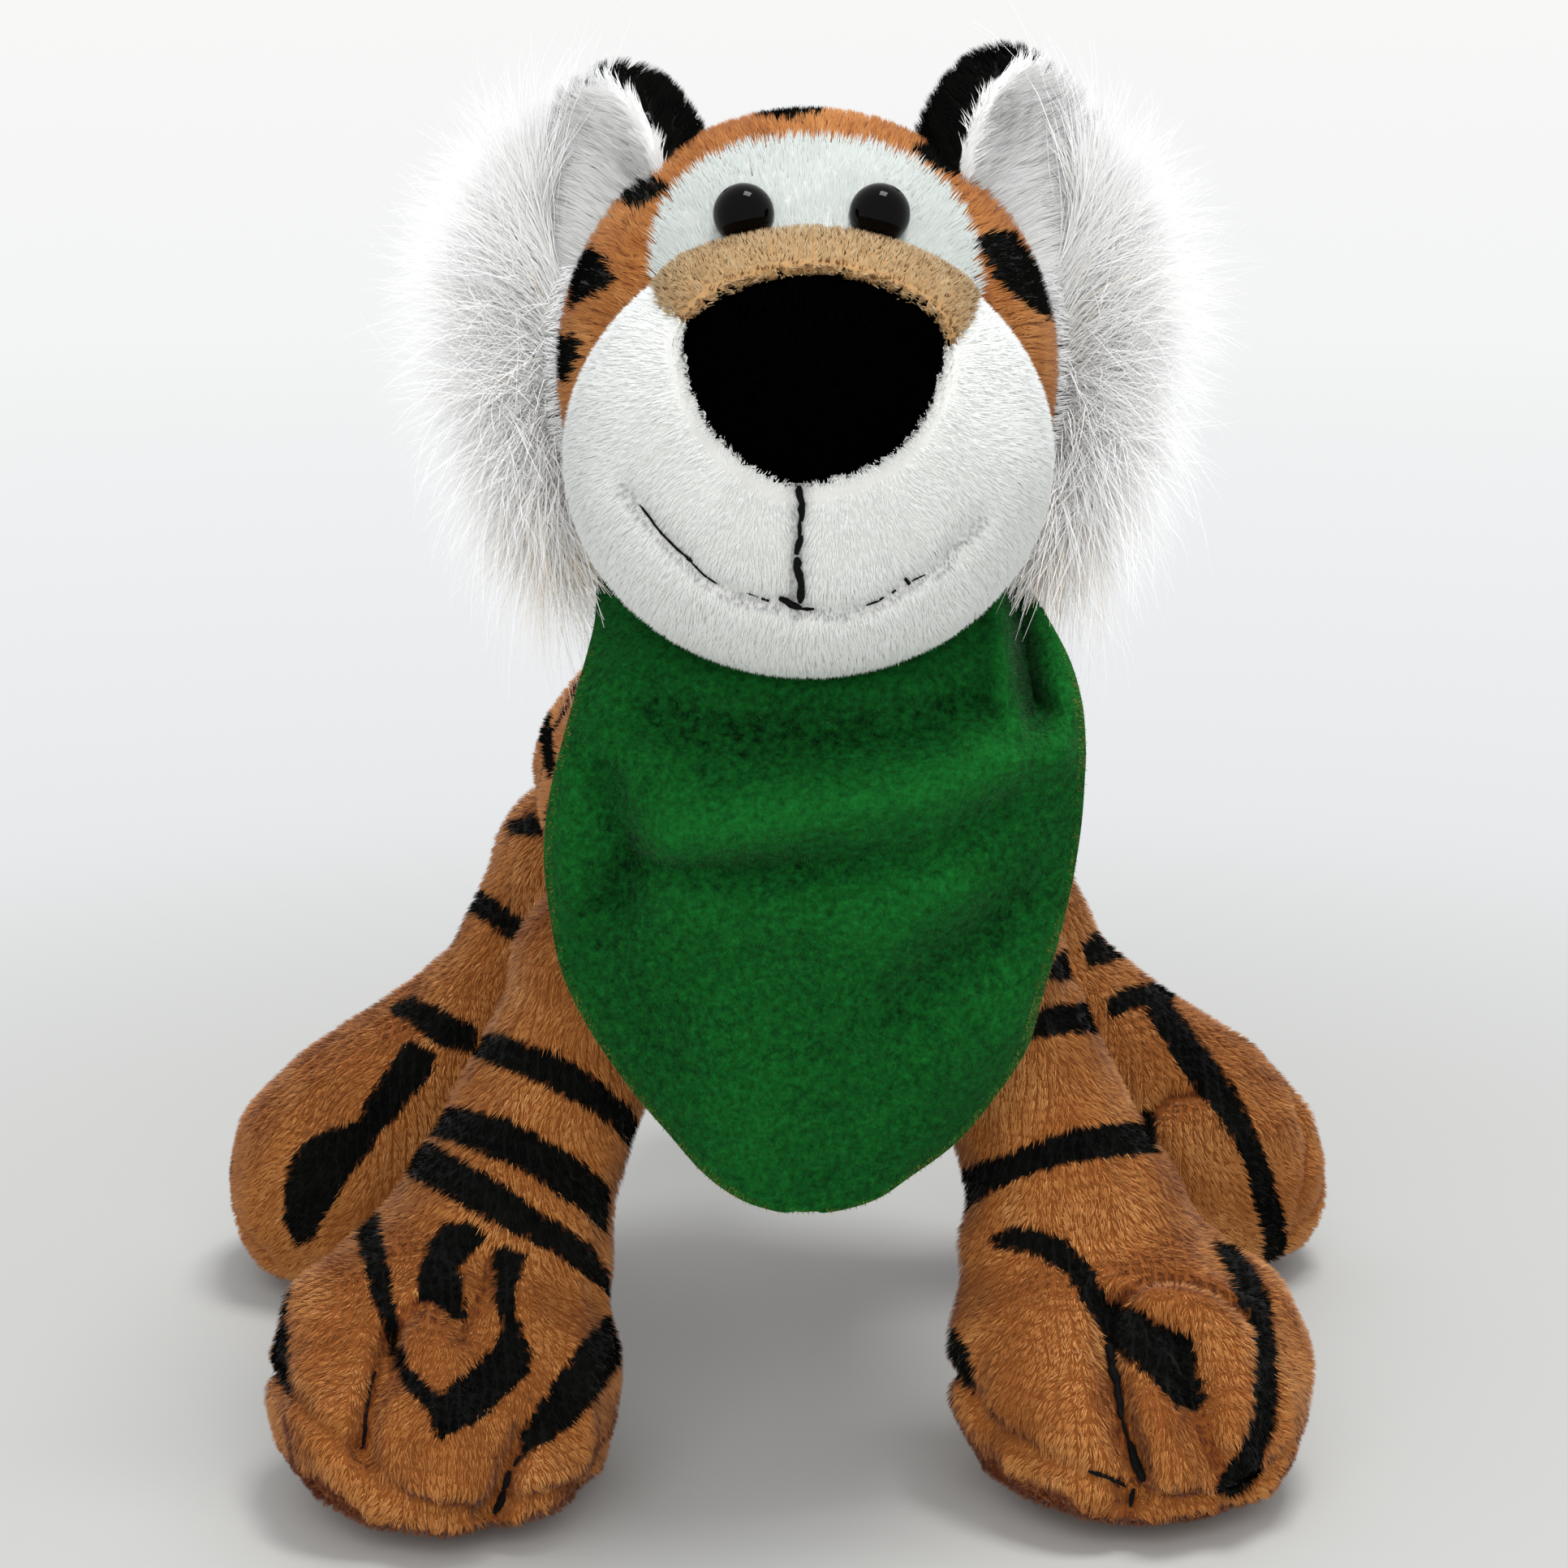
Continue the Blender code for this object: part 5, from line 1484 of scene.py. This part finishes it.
# Each fold has its height, its width in pixels, and places.
folds = (
    (-0.0034, 42, 812, 880, 880, 906, 1010, 914, 1120, 902, 1205, 874),
    (0.0036, 38, 830, 1022, 940, 1004, 1060, 978, 1160, 950, 1225, 926),
    (-0.0020, 24, 790, 1066, 880, 1076, 1010, 1072, 1100, 1058, 1160, 1040, 1232, 995),
    (-0.0030, 27, 745, 955, 762, 1005, 774, 1062, 770, 1112),
    (0.0016, 36, 860, 1126, 960, 1132, 1090, 1128, 1180, 1094),
    (-0.0026, 38, 1285, 1100, 1200, 1165, 1110, 1240),
    (0.0018, 26, 1300, 1090, 1282, 1170, 1244, 1265),
    (-0.0015, 36, 735, 1120, 770, 1220, 830, 1310),
    (0.0016, 18, 708, 960, 698, 1040, 706, 1110),
    (0.0012, 60, 930, 1200, 900, 1290, 930, 1380),
    (0.0030, 12, 1226, 690, 1230, 800, 1236, 862, 1248, 892),
    (-0.0090, 19, 1250, 730, 1262, 790, 1273, 850, 1280, 878),
    (0.0022, 14, 1296, 765, 1310, 815, 1316, 870, 1304, 915),
    (0.0014, 22, 1200, 905, 1250, 925, 1310, 930),
)
kerchief_top, kerchief_low = 690.0, 1492.0
rows, columns = 120, 104
felt_thickness = 0.0012


def smooth_line(points, finely=12):
    """A curve through the places of an edge, walked finely."""
    points = pairs(points)
    spots = np.array([points[0], *points, points[-1]], float)
    walked = []
    for before, start, end, after in zip(spots, spots[1:], spots[2:], spots[3:]):
        for step in range(finely):
            t = step / finely
            walked.append(
                0.5 * (2 * start + (end - before) * t
                       + (2 * before - 5 * start + 4 * end - after) * t**2
                       + (3 * start - before - 3 * end + after) * t**3)
            )
    walked.append(spots[-1])
    walked = np.array(walked)
    return walked[:, 0], walked[:, 1]


def depth_of(level, across):
    """How far forward the cloth hangs: in over the neck, out over the chest, then straight."""
    heights = (0.0, 0.06, 0.12, 0.20, 0.30, 0.50, 0.75, 1.0)
    depths = (-0.0470, -0.0545, -0.0615, -0.0680, -0.0712, -0.0722, -0.0712, -0.0698)
    sides = (0.0030 * across**2 + 0.0060 * np.abs(across) ** 5) * (1.0 - level**10)
    return np.interp(level, heights, depths) + sides


cloth = bmesh.new()
grid = []
left_curve, right_curve = smooth_line(left_edge), smooth_line(right_edge)
for row in range(rows + 1):
    level = math.sin(row / rows * math.pi / 2.0)
    y = kerchief_top + (kerchief_low - kerchief_top) * level
    low_x, high_x = np.interp(y, *left_curve), np.interp(y, *right_curve)
    line = []
    for column in range(columns + 1):
        across = column / columns * 2.0 - 1.0
        way = ray((low_x + high_x) / 2 + (high_x - low_x) / 2 * across, y)
        reach = (float(depth_of(level, across)) - camera_place.y) / way.y
        line.append(cloth.verts.new(camera_place + way * reach))
    grid.append(line)
for above, below in zip(grid, grid[1:]):
    for i in range(columns):
        cloth.faces.new((above[i], above[i + 1], below[i + 1], below[i]))
print("front cloth:", len(cloth.faces), "faces")

# %% Fold the cloth and carry it round the neck
places = np.array([tuple(vert.co) for vert in cloth.verts])
x, y = pixels(places)
push = 0.00035 * waves(places, 0.018, 201) + 0.0005 * waves(places, 0.040, 202)
for height, width, *line in folds:
    push += height * np.exp(-((line_distance(line, x, y, closed=False) / width) ** 2))
for vert, move in zip(cloth.verts, push):
    vert.co.y -= move
mesh = bpy.data.meshes.new("neckerchief")
cloth.to_mesh(mesh)
cloth.free()
# The fold attribute is painted shade and light: from -1 in the valleys of the folds to 1 on the
# ridges.
fold = mesh.attributes.new("fold", "FLOAT", "POINT")
fold.data.foreach_set("value", np.clip(push / 0.0045, -1.0, 1.0).astype(np.float32))
hung = np.array([tuple(vert.co) for vert in mesh.vertices]).reshape(rows + 1, columns + 1, 3)
across_lengths = np.linalg.norm(np.diff(hung, axis=1), axis=2).sum(1)
down_length = np.linalg.norm(np.diff(hung[:, columns // 2], axis=0), axis=1).sum()
print(
    "cut in mm:", round(1000 * across_lengths.max(), 1), round(1000 * down_length, 1),
    "area in cm2:", round(1e4 * sum(face.area for face in mesh.polygons), 2),
)
neckerchief = add_object("neckerchief", mesh)

band = bmesh.new()
ring = []
band_start, band_arc = math.radians(12.0), math.radians(336.0)
steps = 72
for step in range(steps + 1):
    angle = band_start + band_arc * step / steps
    out = Vector((math.sin(angle), -math.cos(angle), 0.0))
    back = max(-math.cos(angle), 0.0)
    middle = Vector((0.0026, -0.0253, 0.0))
    high = middle + Vector((out.x * 0.0238, out.y * 0.0232, 0.1165 - 0.0010 * back))
    low = middle + Vector((out.x * 0.0292, out.y * 0.0275, 0.1072 + 0.0006 * math.sin(5.0 * angle)))
    bow = (high + low) / 2 + out * 0.0014
    ring.append([band.verts.new(low), band.verts.new(bow), band.verts.new(high)])
for first, second in zip(ring, ring[1:]):
    for i in range(2):
        band.faces.new((first[i], second[i], second[i + 1], first[i + 1]))
band_mesh = bpy.data.meshes.new("neckerchief_band")
band.to_mesh(band_mesh)
bows = np.array([tuple(edge[1].co) for edge in ring])
print(
    "band in mm:", round(1000 * np.linalg.norm(np.diff(bows, axis=0), axis=1).sum(), 1),
    "area in cm2:", round(1e4 * sum(face.calc_area() for face in band.faces), 2),
)
band.free()
neck_band = add_object("neckerchief_band", band_mesh)
for cloth_piece in (neckerchief, neck_band):
    felt = cloth_piece.modifiers.new("felt", "SOLIDIFY")
    felt.thickness, felt.offset, felt.use_even_offset = felt_thickness, 0.0, False
    edge = cloth_piece.modifiers.new("edge", "BEVEL")
    edge.width, edge.segments, edge.limit_method = 0.0004, 2, "ANGLE"
    if cloth_piece is neck_band:
        soft = cloth_piece.modifiers.new("soft", "SUBSURF")
        soft.levels = soft.render_levels = 2
    apply_all(cloth_piece)
    cloth_piece.data.shade_smooth()
print("neckerchief faces:", len(neckerchief.data.polygons), "band:", len(neck_band.data.polygons))

# %% Felt finish
felt_material, tree, shader = new_material("green_felt", {
    "Roughness": 0.95, "Sheen Weight": 0.12, "Sheen Roughness": 0.4,
    "Sheen Tint": linear(90, 200, 110), "Specular IOR Level": 0.05,
})
# Painted fold shade: the fold attribute darkens the felt in the valleys and lightens it on the
# ridges.
fold_share = add_node(tree, "Attribute")
fold_share.attribute_name = "fold"
mottle = add_node(tree, "TexNoise", {"Scale": 900.0, "Detail": 3.0, "Roughness": 0.7})
specks = add_node(tree, "TexNoise", {"Scale": 1500.0, "Detail": 3.0})
by_object(tree, mottle, specks)
middle_span = {"From Min": 0.3, "From Max": 0.7}
mottle_tone = add_node(tree, "MapRange", {**middle_span, "To Min": 0.18, "To Max": 0.86})
spread = add_node(tree, "MapRange", {**middle_span, "To Min": 0.55, "To Max": 1.0})
fold_shade_tone = add_node(tree, "Math", {1: 0.36})
fold_shade_tone.operation = "MULTIPLY_ADD"
wide = colour_mix(tree, {6: linear(3, 30, 8), 7: linear(24, 108, 40)})
fine = colour_mix(tree, {"Factor": 0.7})
fine.blend_type = "MULTIPLY"
bump = add_node(tree, "Bump", {"Strength": 0.6, "Distance": 0.0003})
wire(
    tree, (mottle, "Fac", mottle_tone, "Value"), (fold_share, "Fac", fold_shade_tone, 0),
    (mottle_tone, "Result", fold_shade_tone, 2), (fold_shade_tone, "Value", wide, "Factor"),
    (specks, "Fac", spread, "Value"), (wide, 2, fine, 6), (spread, "Result", fine, 7),
    (fine, 2, shader, "Base Color"), (specks, "Fac", bump, "Height"),
    (bump, "Normal", shader, "Normal"),
)
for cloth_piece in (neckerchief, neck_band):
    cloth_piece.data.materials.clear()
    cloth_piece.data.materials.append(felt_material)

back_from = -0.35
points, normals, _ = arrays(neckerchief)
roots, normals = sprinkle(neckerchief, 13.0, 211, facing(points, normals) > back_from)
folded = np.empty(len(points), np.float32)
neckerchief.data.attributes["fold"].data.foreach_get("value", folded)
finder = KDTree(len(points))
for number, point in enumerate(points):
    finder.insert(point, number)
finder.balance()
folded = folded[[finder.find(root)[1] for root in roots]]
chance = np.random.default_rng(215)
# The nap's tones follow the folds too: painted shade in the valleys, painted light on the ridges.
shade = 1.9 + 1.2 * folded + 0.25 * waves(roots, 0.006, 212) + chance.normal(0.0, 0.4, len(roots))
shade += 0.9 * waves(roots, 0.0013, 216) + 0.6 * waves(roots, 0.0024, 217)
# The nap within a few pixels of the cut edge, below the neck, takes the yellow-green edge palette.
edge_tint_width, edge_tint_from = 5.5, 770.0
x, y = pixels(roots)
to_side = np.minimum(x - np.interp(y, *left_curve), np.interp(y, *right_curve) - x)
edge_tinted = (np.minimum(to_side, kerchief_low - y) < edge_tint_width) & (y > edge_tint_from)
felt_nap = grow(
    "neckerchief_nap", roots, normals, one_way((0.0, 0.0, -1.0), len(roots)),
    colour_list(edge_tinted, "felt", "edge_tint"), shade, 214, length=0.0006, width=0.00014, lean=1.1,
    clump=0.0008, pull=0.2, jitter=0.8, swirl=0.5,
)
print("felt ready")

# %% [markdown]
# ## Joining the pieces to their bodies
#
# Each finished piece but the neckerchief and its nap rides on the body of the solid that it stands
# for. The neckerchief crosses the fold over the chest, and it and its nap stay fixed in the room.

# %% Ride and replace
for part, shell in shells.items():
    if part in limbs:
        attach(shell, part + "_leg")
        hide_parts(part + "_leg_skin", part + "_sole", part + "_leg_filling")
        shell.data.materials.append(brown_backing)
    elif part in ("torso", "neck"):
        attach(shell, part)
        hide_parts(part + "_skin", part + "_filling")
        shell.data.materials.append(brown_backing)
    elif part == "tail":
        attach(shell, "tail")
        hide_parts("tail_skin", "tail_tip", "tail_filling")
        shell.data.materials.append(brown_backing)
    else:
        hand, kind = part.split("_")
        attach(shell, "head")
        solids = [part] if kind == "mane" else [part + "_back", part + "_front"]
        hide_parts(*solids)
        shell.data.materials.append(snow_backing)
for part, pile in body_pile.items():
    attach(pile, part + "_leg" if part in limbs else part)
for part, pile in head_pile.items():
    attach(pile, "head")
panel_solids = {
    "head": (["head_skin", "head_filling"], "brown_plush"),
    "snout": (["muzzle_skin", "muzzle_filling"], "white_plush"),
    "patch": (["eye_patch"], "white_plush"),
    "bridge": (["muzzle_bridge"], "tan_plush"),
    "nose": (["nose"], "black_plush"),
}
for part, (solids, slot) in panel_solids.items():
    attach(panels[part], "head")
    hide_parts(*solids)
for hand, eye in eyes.items():
    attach(eye, "head")
    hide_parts(hand + "_eye", hand + "_eye_washer")
for node, sewing in threads.items():
    body = "head" if "toe" not in node else node.split("_toe")[0] + "_leg"
    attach(sewing, body)
    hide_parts(node)
for cloth_piece in (neckerchief, felt_nap):
    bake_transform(cloth_piece)
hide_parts("neckerchief_flap")
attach(neck_band, "torso")
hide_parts("neckerchief_collar")

# %% [markdown]
# ## Floor and light
#
# The toy stands on a pale table in soft daylight: a window lamp above it, a little to the right, a
# wide fill from the front and an even sky, at a level at which a colour shows about as it is
# written. Beyond the toy the table turns into a plain pale haze.

# %% Floor
def plain_rays(tree):
    """One for the rays that see the plain background: the camera's, mirrored and passed-on ones."""
    seen = add_node(tree, "LightPath")
    first, second = add_node(tree, "Math"), add_node(tree, "Math")
    second.use_clamp = True
    wire(
        tree, (seen, "Is Camera Ray", first, 0), (seen, "Is Glossy Ray", first, 1),
        (first, "Value", second, 0), (seen, "Is Transmission Ray", second, 1),
    )
    return second


deselect()
bpy.ops.mesh.primitive_plane_add(size=16.0, location=(0.0, 0.0, 0.0))
floor = bpy.context.object
floor.name = "table"
floor_material, tree, shader = new_material("pale_table", {
    "Base Color": linear(190, 190, 187), "Roughness": 0.6, "Specular IOR Level": 0.2,
})
away = add_node(tree, "VectorMath")
away.operation = "LENGTH"
by_object(tree, away)
near_share = add_node(tree, "MapRange", {"From Min": 0.115, "From Max": 0.34})
near_share.interpolation_type = "SMOOTHSTEP"
far_share = add_node(tree, "MapRange", {"From Max": 4.0})
haze = add_node(tree, "ValToRGB")
haze_stops = (
    (0.03, (222, 225, 226)), (0.74, (248, 248, 247)), (0.058, (229, 231, 232)),
    (0.105, (234, 236, 238)), (0.27, (244, 245, 245)),
)
ends = list(haze.color_ramp.elements)
for number, (share, grey) in enumerate(haze_stops):
    stop = ends[number] if number < 2 else haze.color_ramp.elements.new(share)
    stop.position, stop.color = share, linear(*grey)
both = add_node(tree, "Math")
both.operation = "MULTIPLY"
glow, blend = add_node(tree, "Emission"), add_node(tree, "MixShader")
wire(
    tree, (away, "Value", near_share, "Value"), (away, "Value", far_share, "Value"),
    (far_share, "Result", haze, "Fac"), (haze, "Color", glow, "Color"),
    (near_share, "Result", both, 0), (plain_rays(tree), "Value", both, 1),
    (both, "Value", blend, "Fac"), (shader, "BSDF", blend, 1), (glow, "Emission", blend, 2),
    (blend, "Shader", tree.nodes["Material Output"], "Surface"),
)
floor.data.materials.append(floor_material)
floor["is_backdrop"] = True

# %% Lamps and sky
def lamp(name, place, size, power, target=(0.0, -0.02, 0.08)):
    data = bpy.data.lights.new(name, "AREA")
    data.shape, data.size, data.energy = "SQUARE", size, power
    made = add_object(name, data)
    made.location = place
    made.rotation_euler = (Vector(target) - Vector(place)).to_track_quat("-Z", "Y").to_euler()
    return made


lamp("window", (0.22, -0.08, 1.35), 0.42, 10.0)
fill = lamp("fill", (-0.10, -1.15, 0.60), 1.2, 9.2)
fill.visible_glossy = False
world = bpy.data.worlds.new("sky")
bpy.context.scene.world = world
world.use_nodes = True
tree = world.node_tree
sky = put(tree.nodes["Background"], {"Color": (0.95, 0.97, 1.0, 1.0), "Strength": 0.70})
backdrop = add_node(tree, "Background", {"Color": linear(244, 244, 243)})
blend = add_node(tree, "MixShader")
wire(
    tree, (plain_rays(tree), "Value", blend, "Fac"), (sky, "Background", blend, 1),
    (backdrop, "Background", blend, 2), (blend, "Shader", tree.nodes["World Output"], "Surface"),
)
bpy.context.scene.view_settings.view_transform = "Standard"
print("lamps:", len(bpy.data.lights))

# %% [markdown]
# ## The size
#
# The dressed toy has to stay inside the box of its solids, but for the little that pile may stand
# proud.

# %% Size
low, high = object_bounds()
print("visual box in mm:", [round(1000 * v, 1) for v in (*low, *high)])
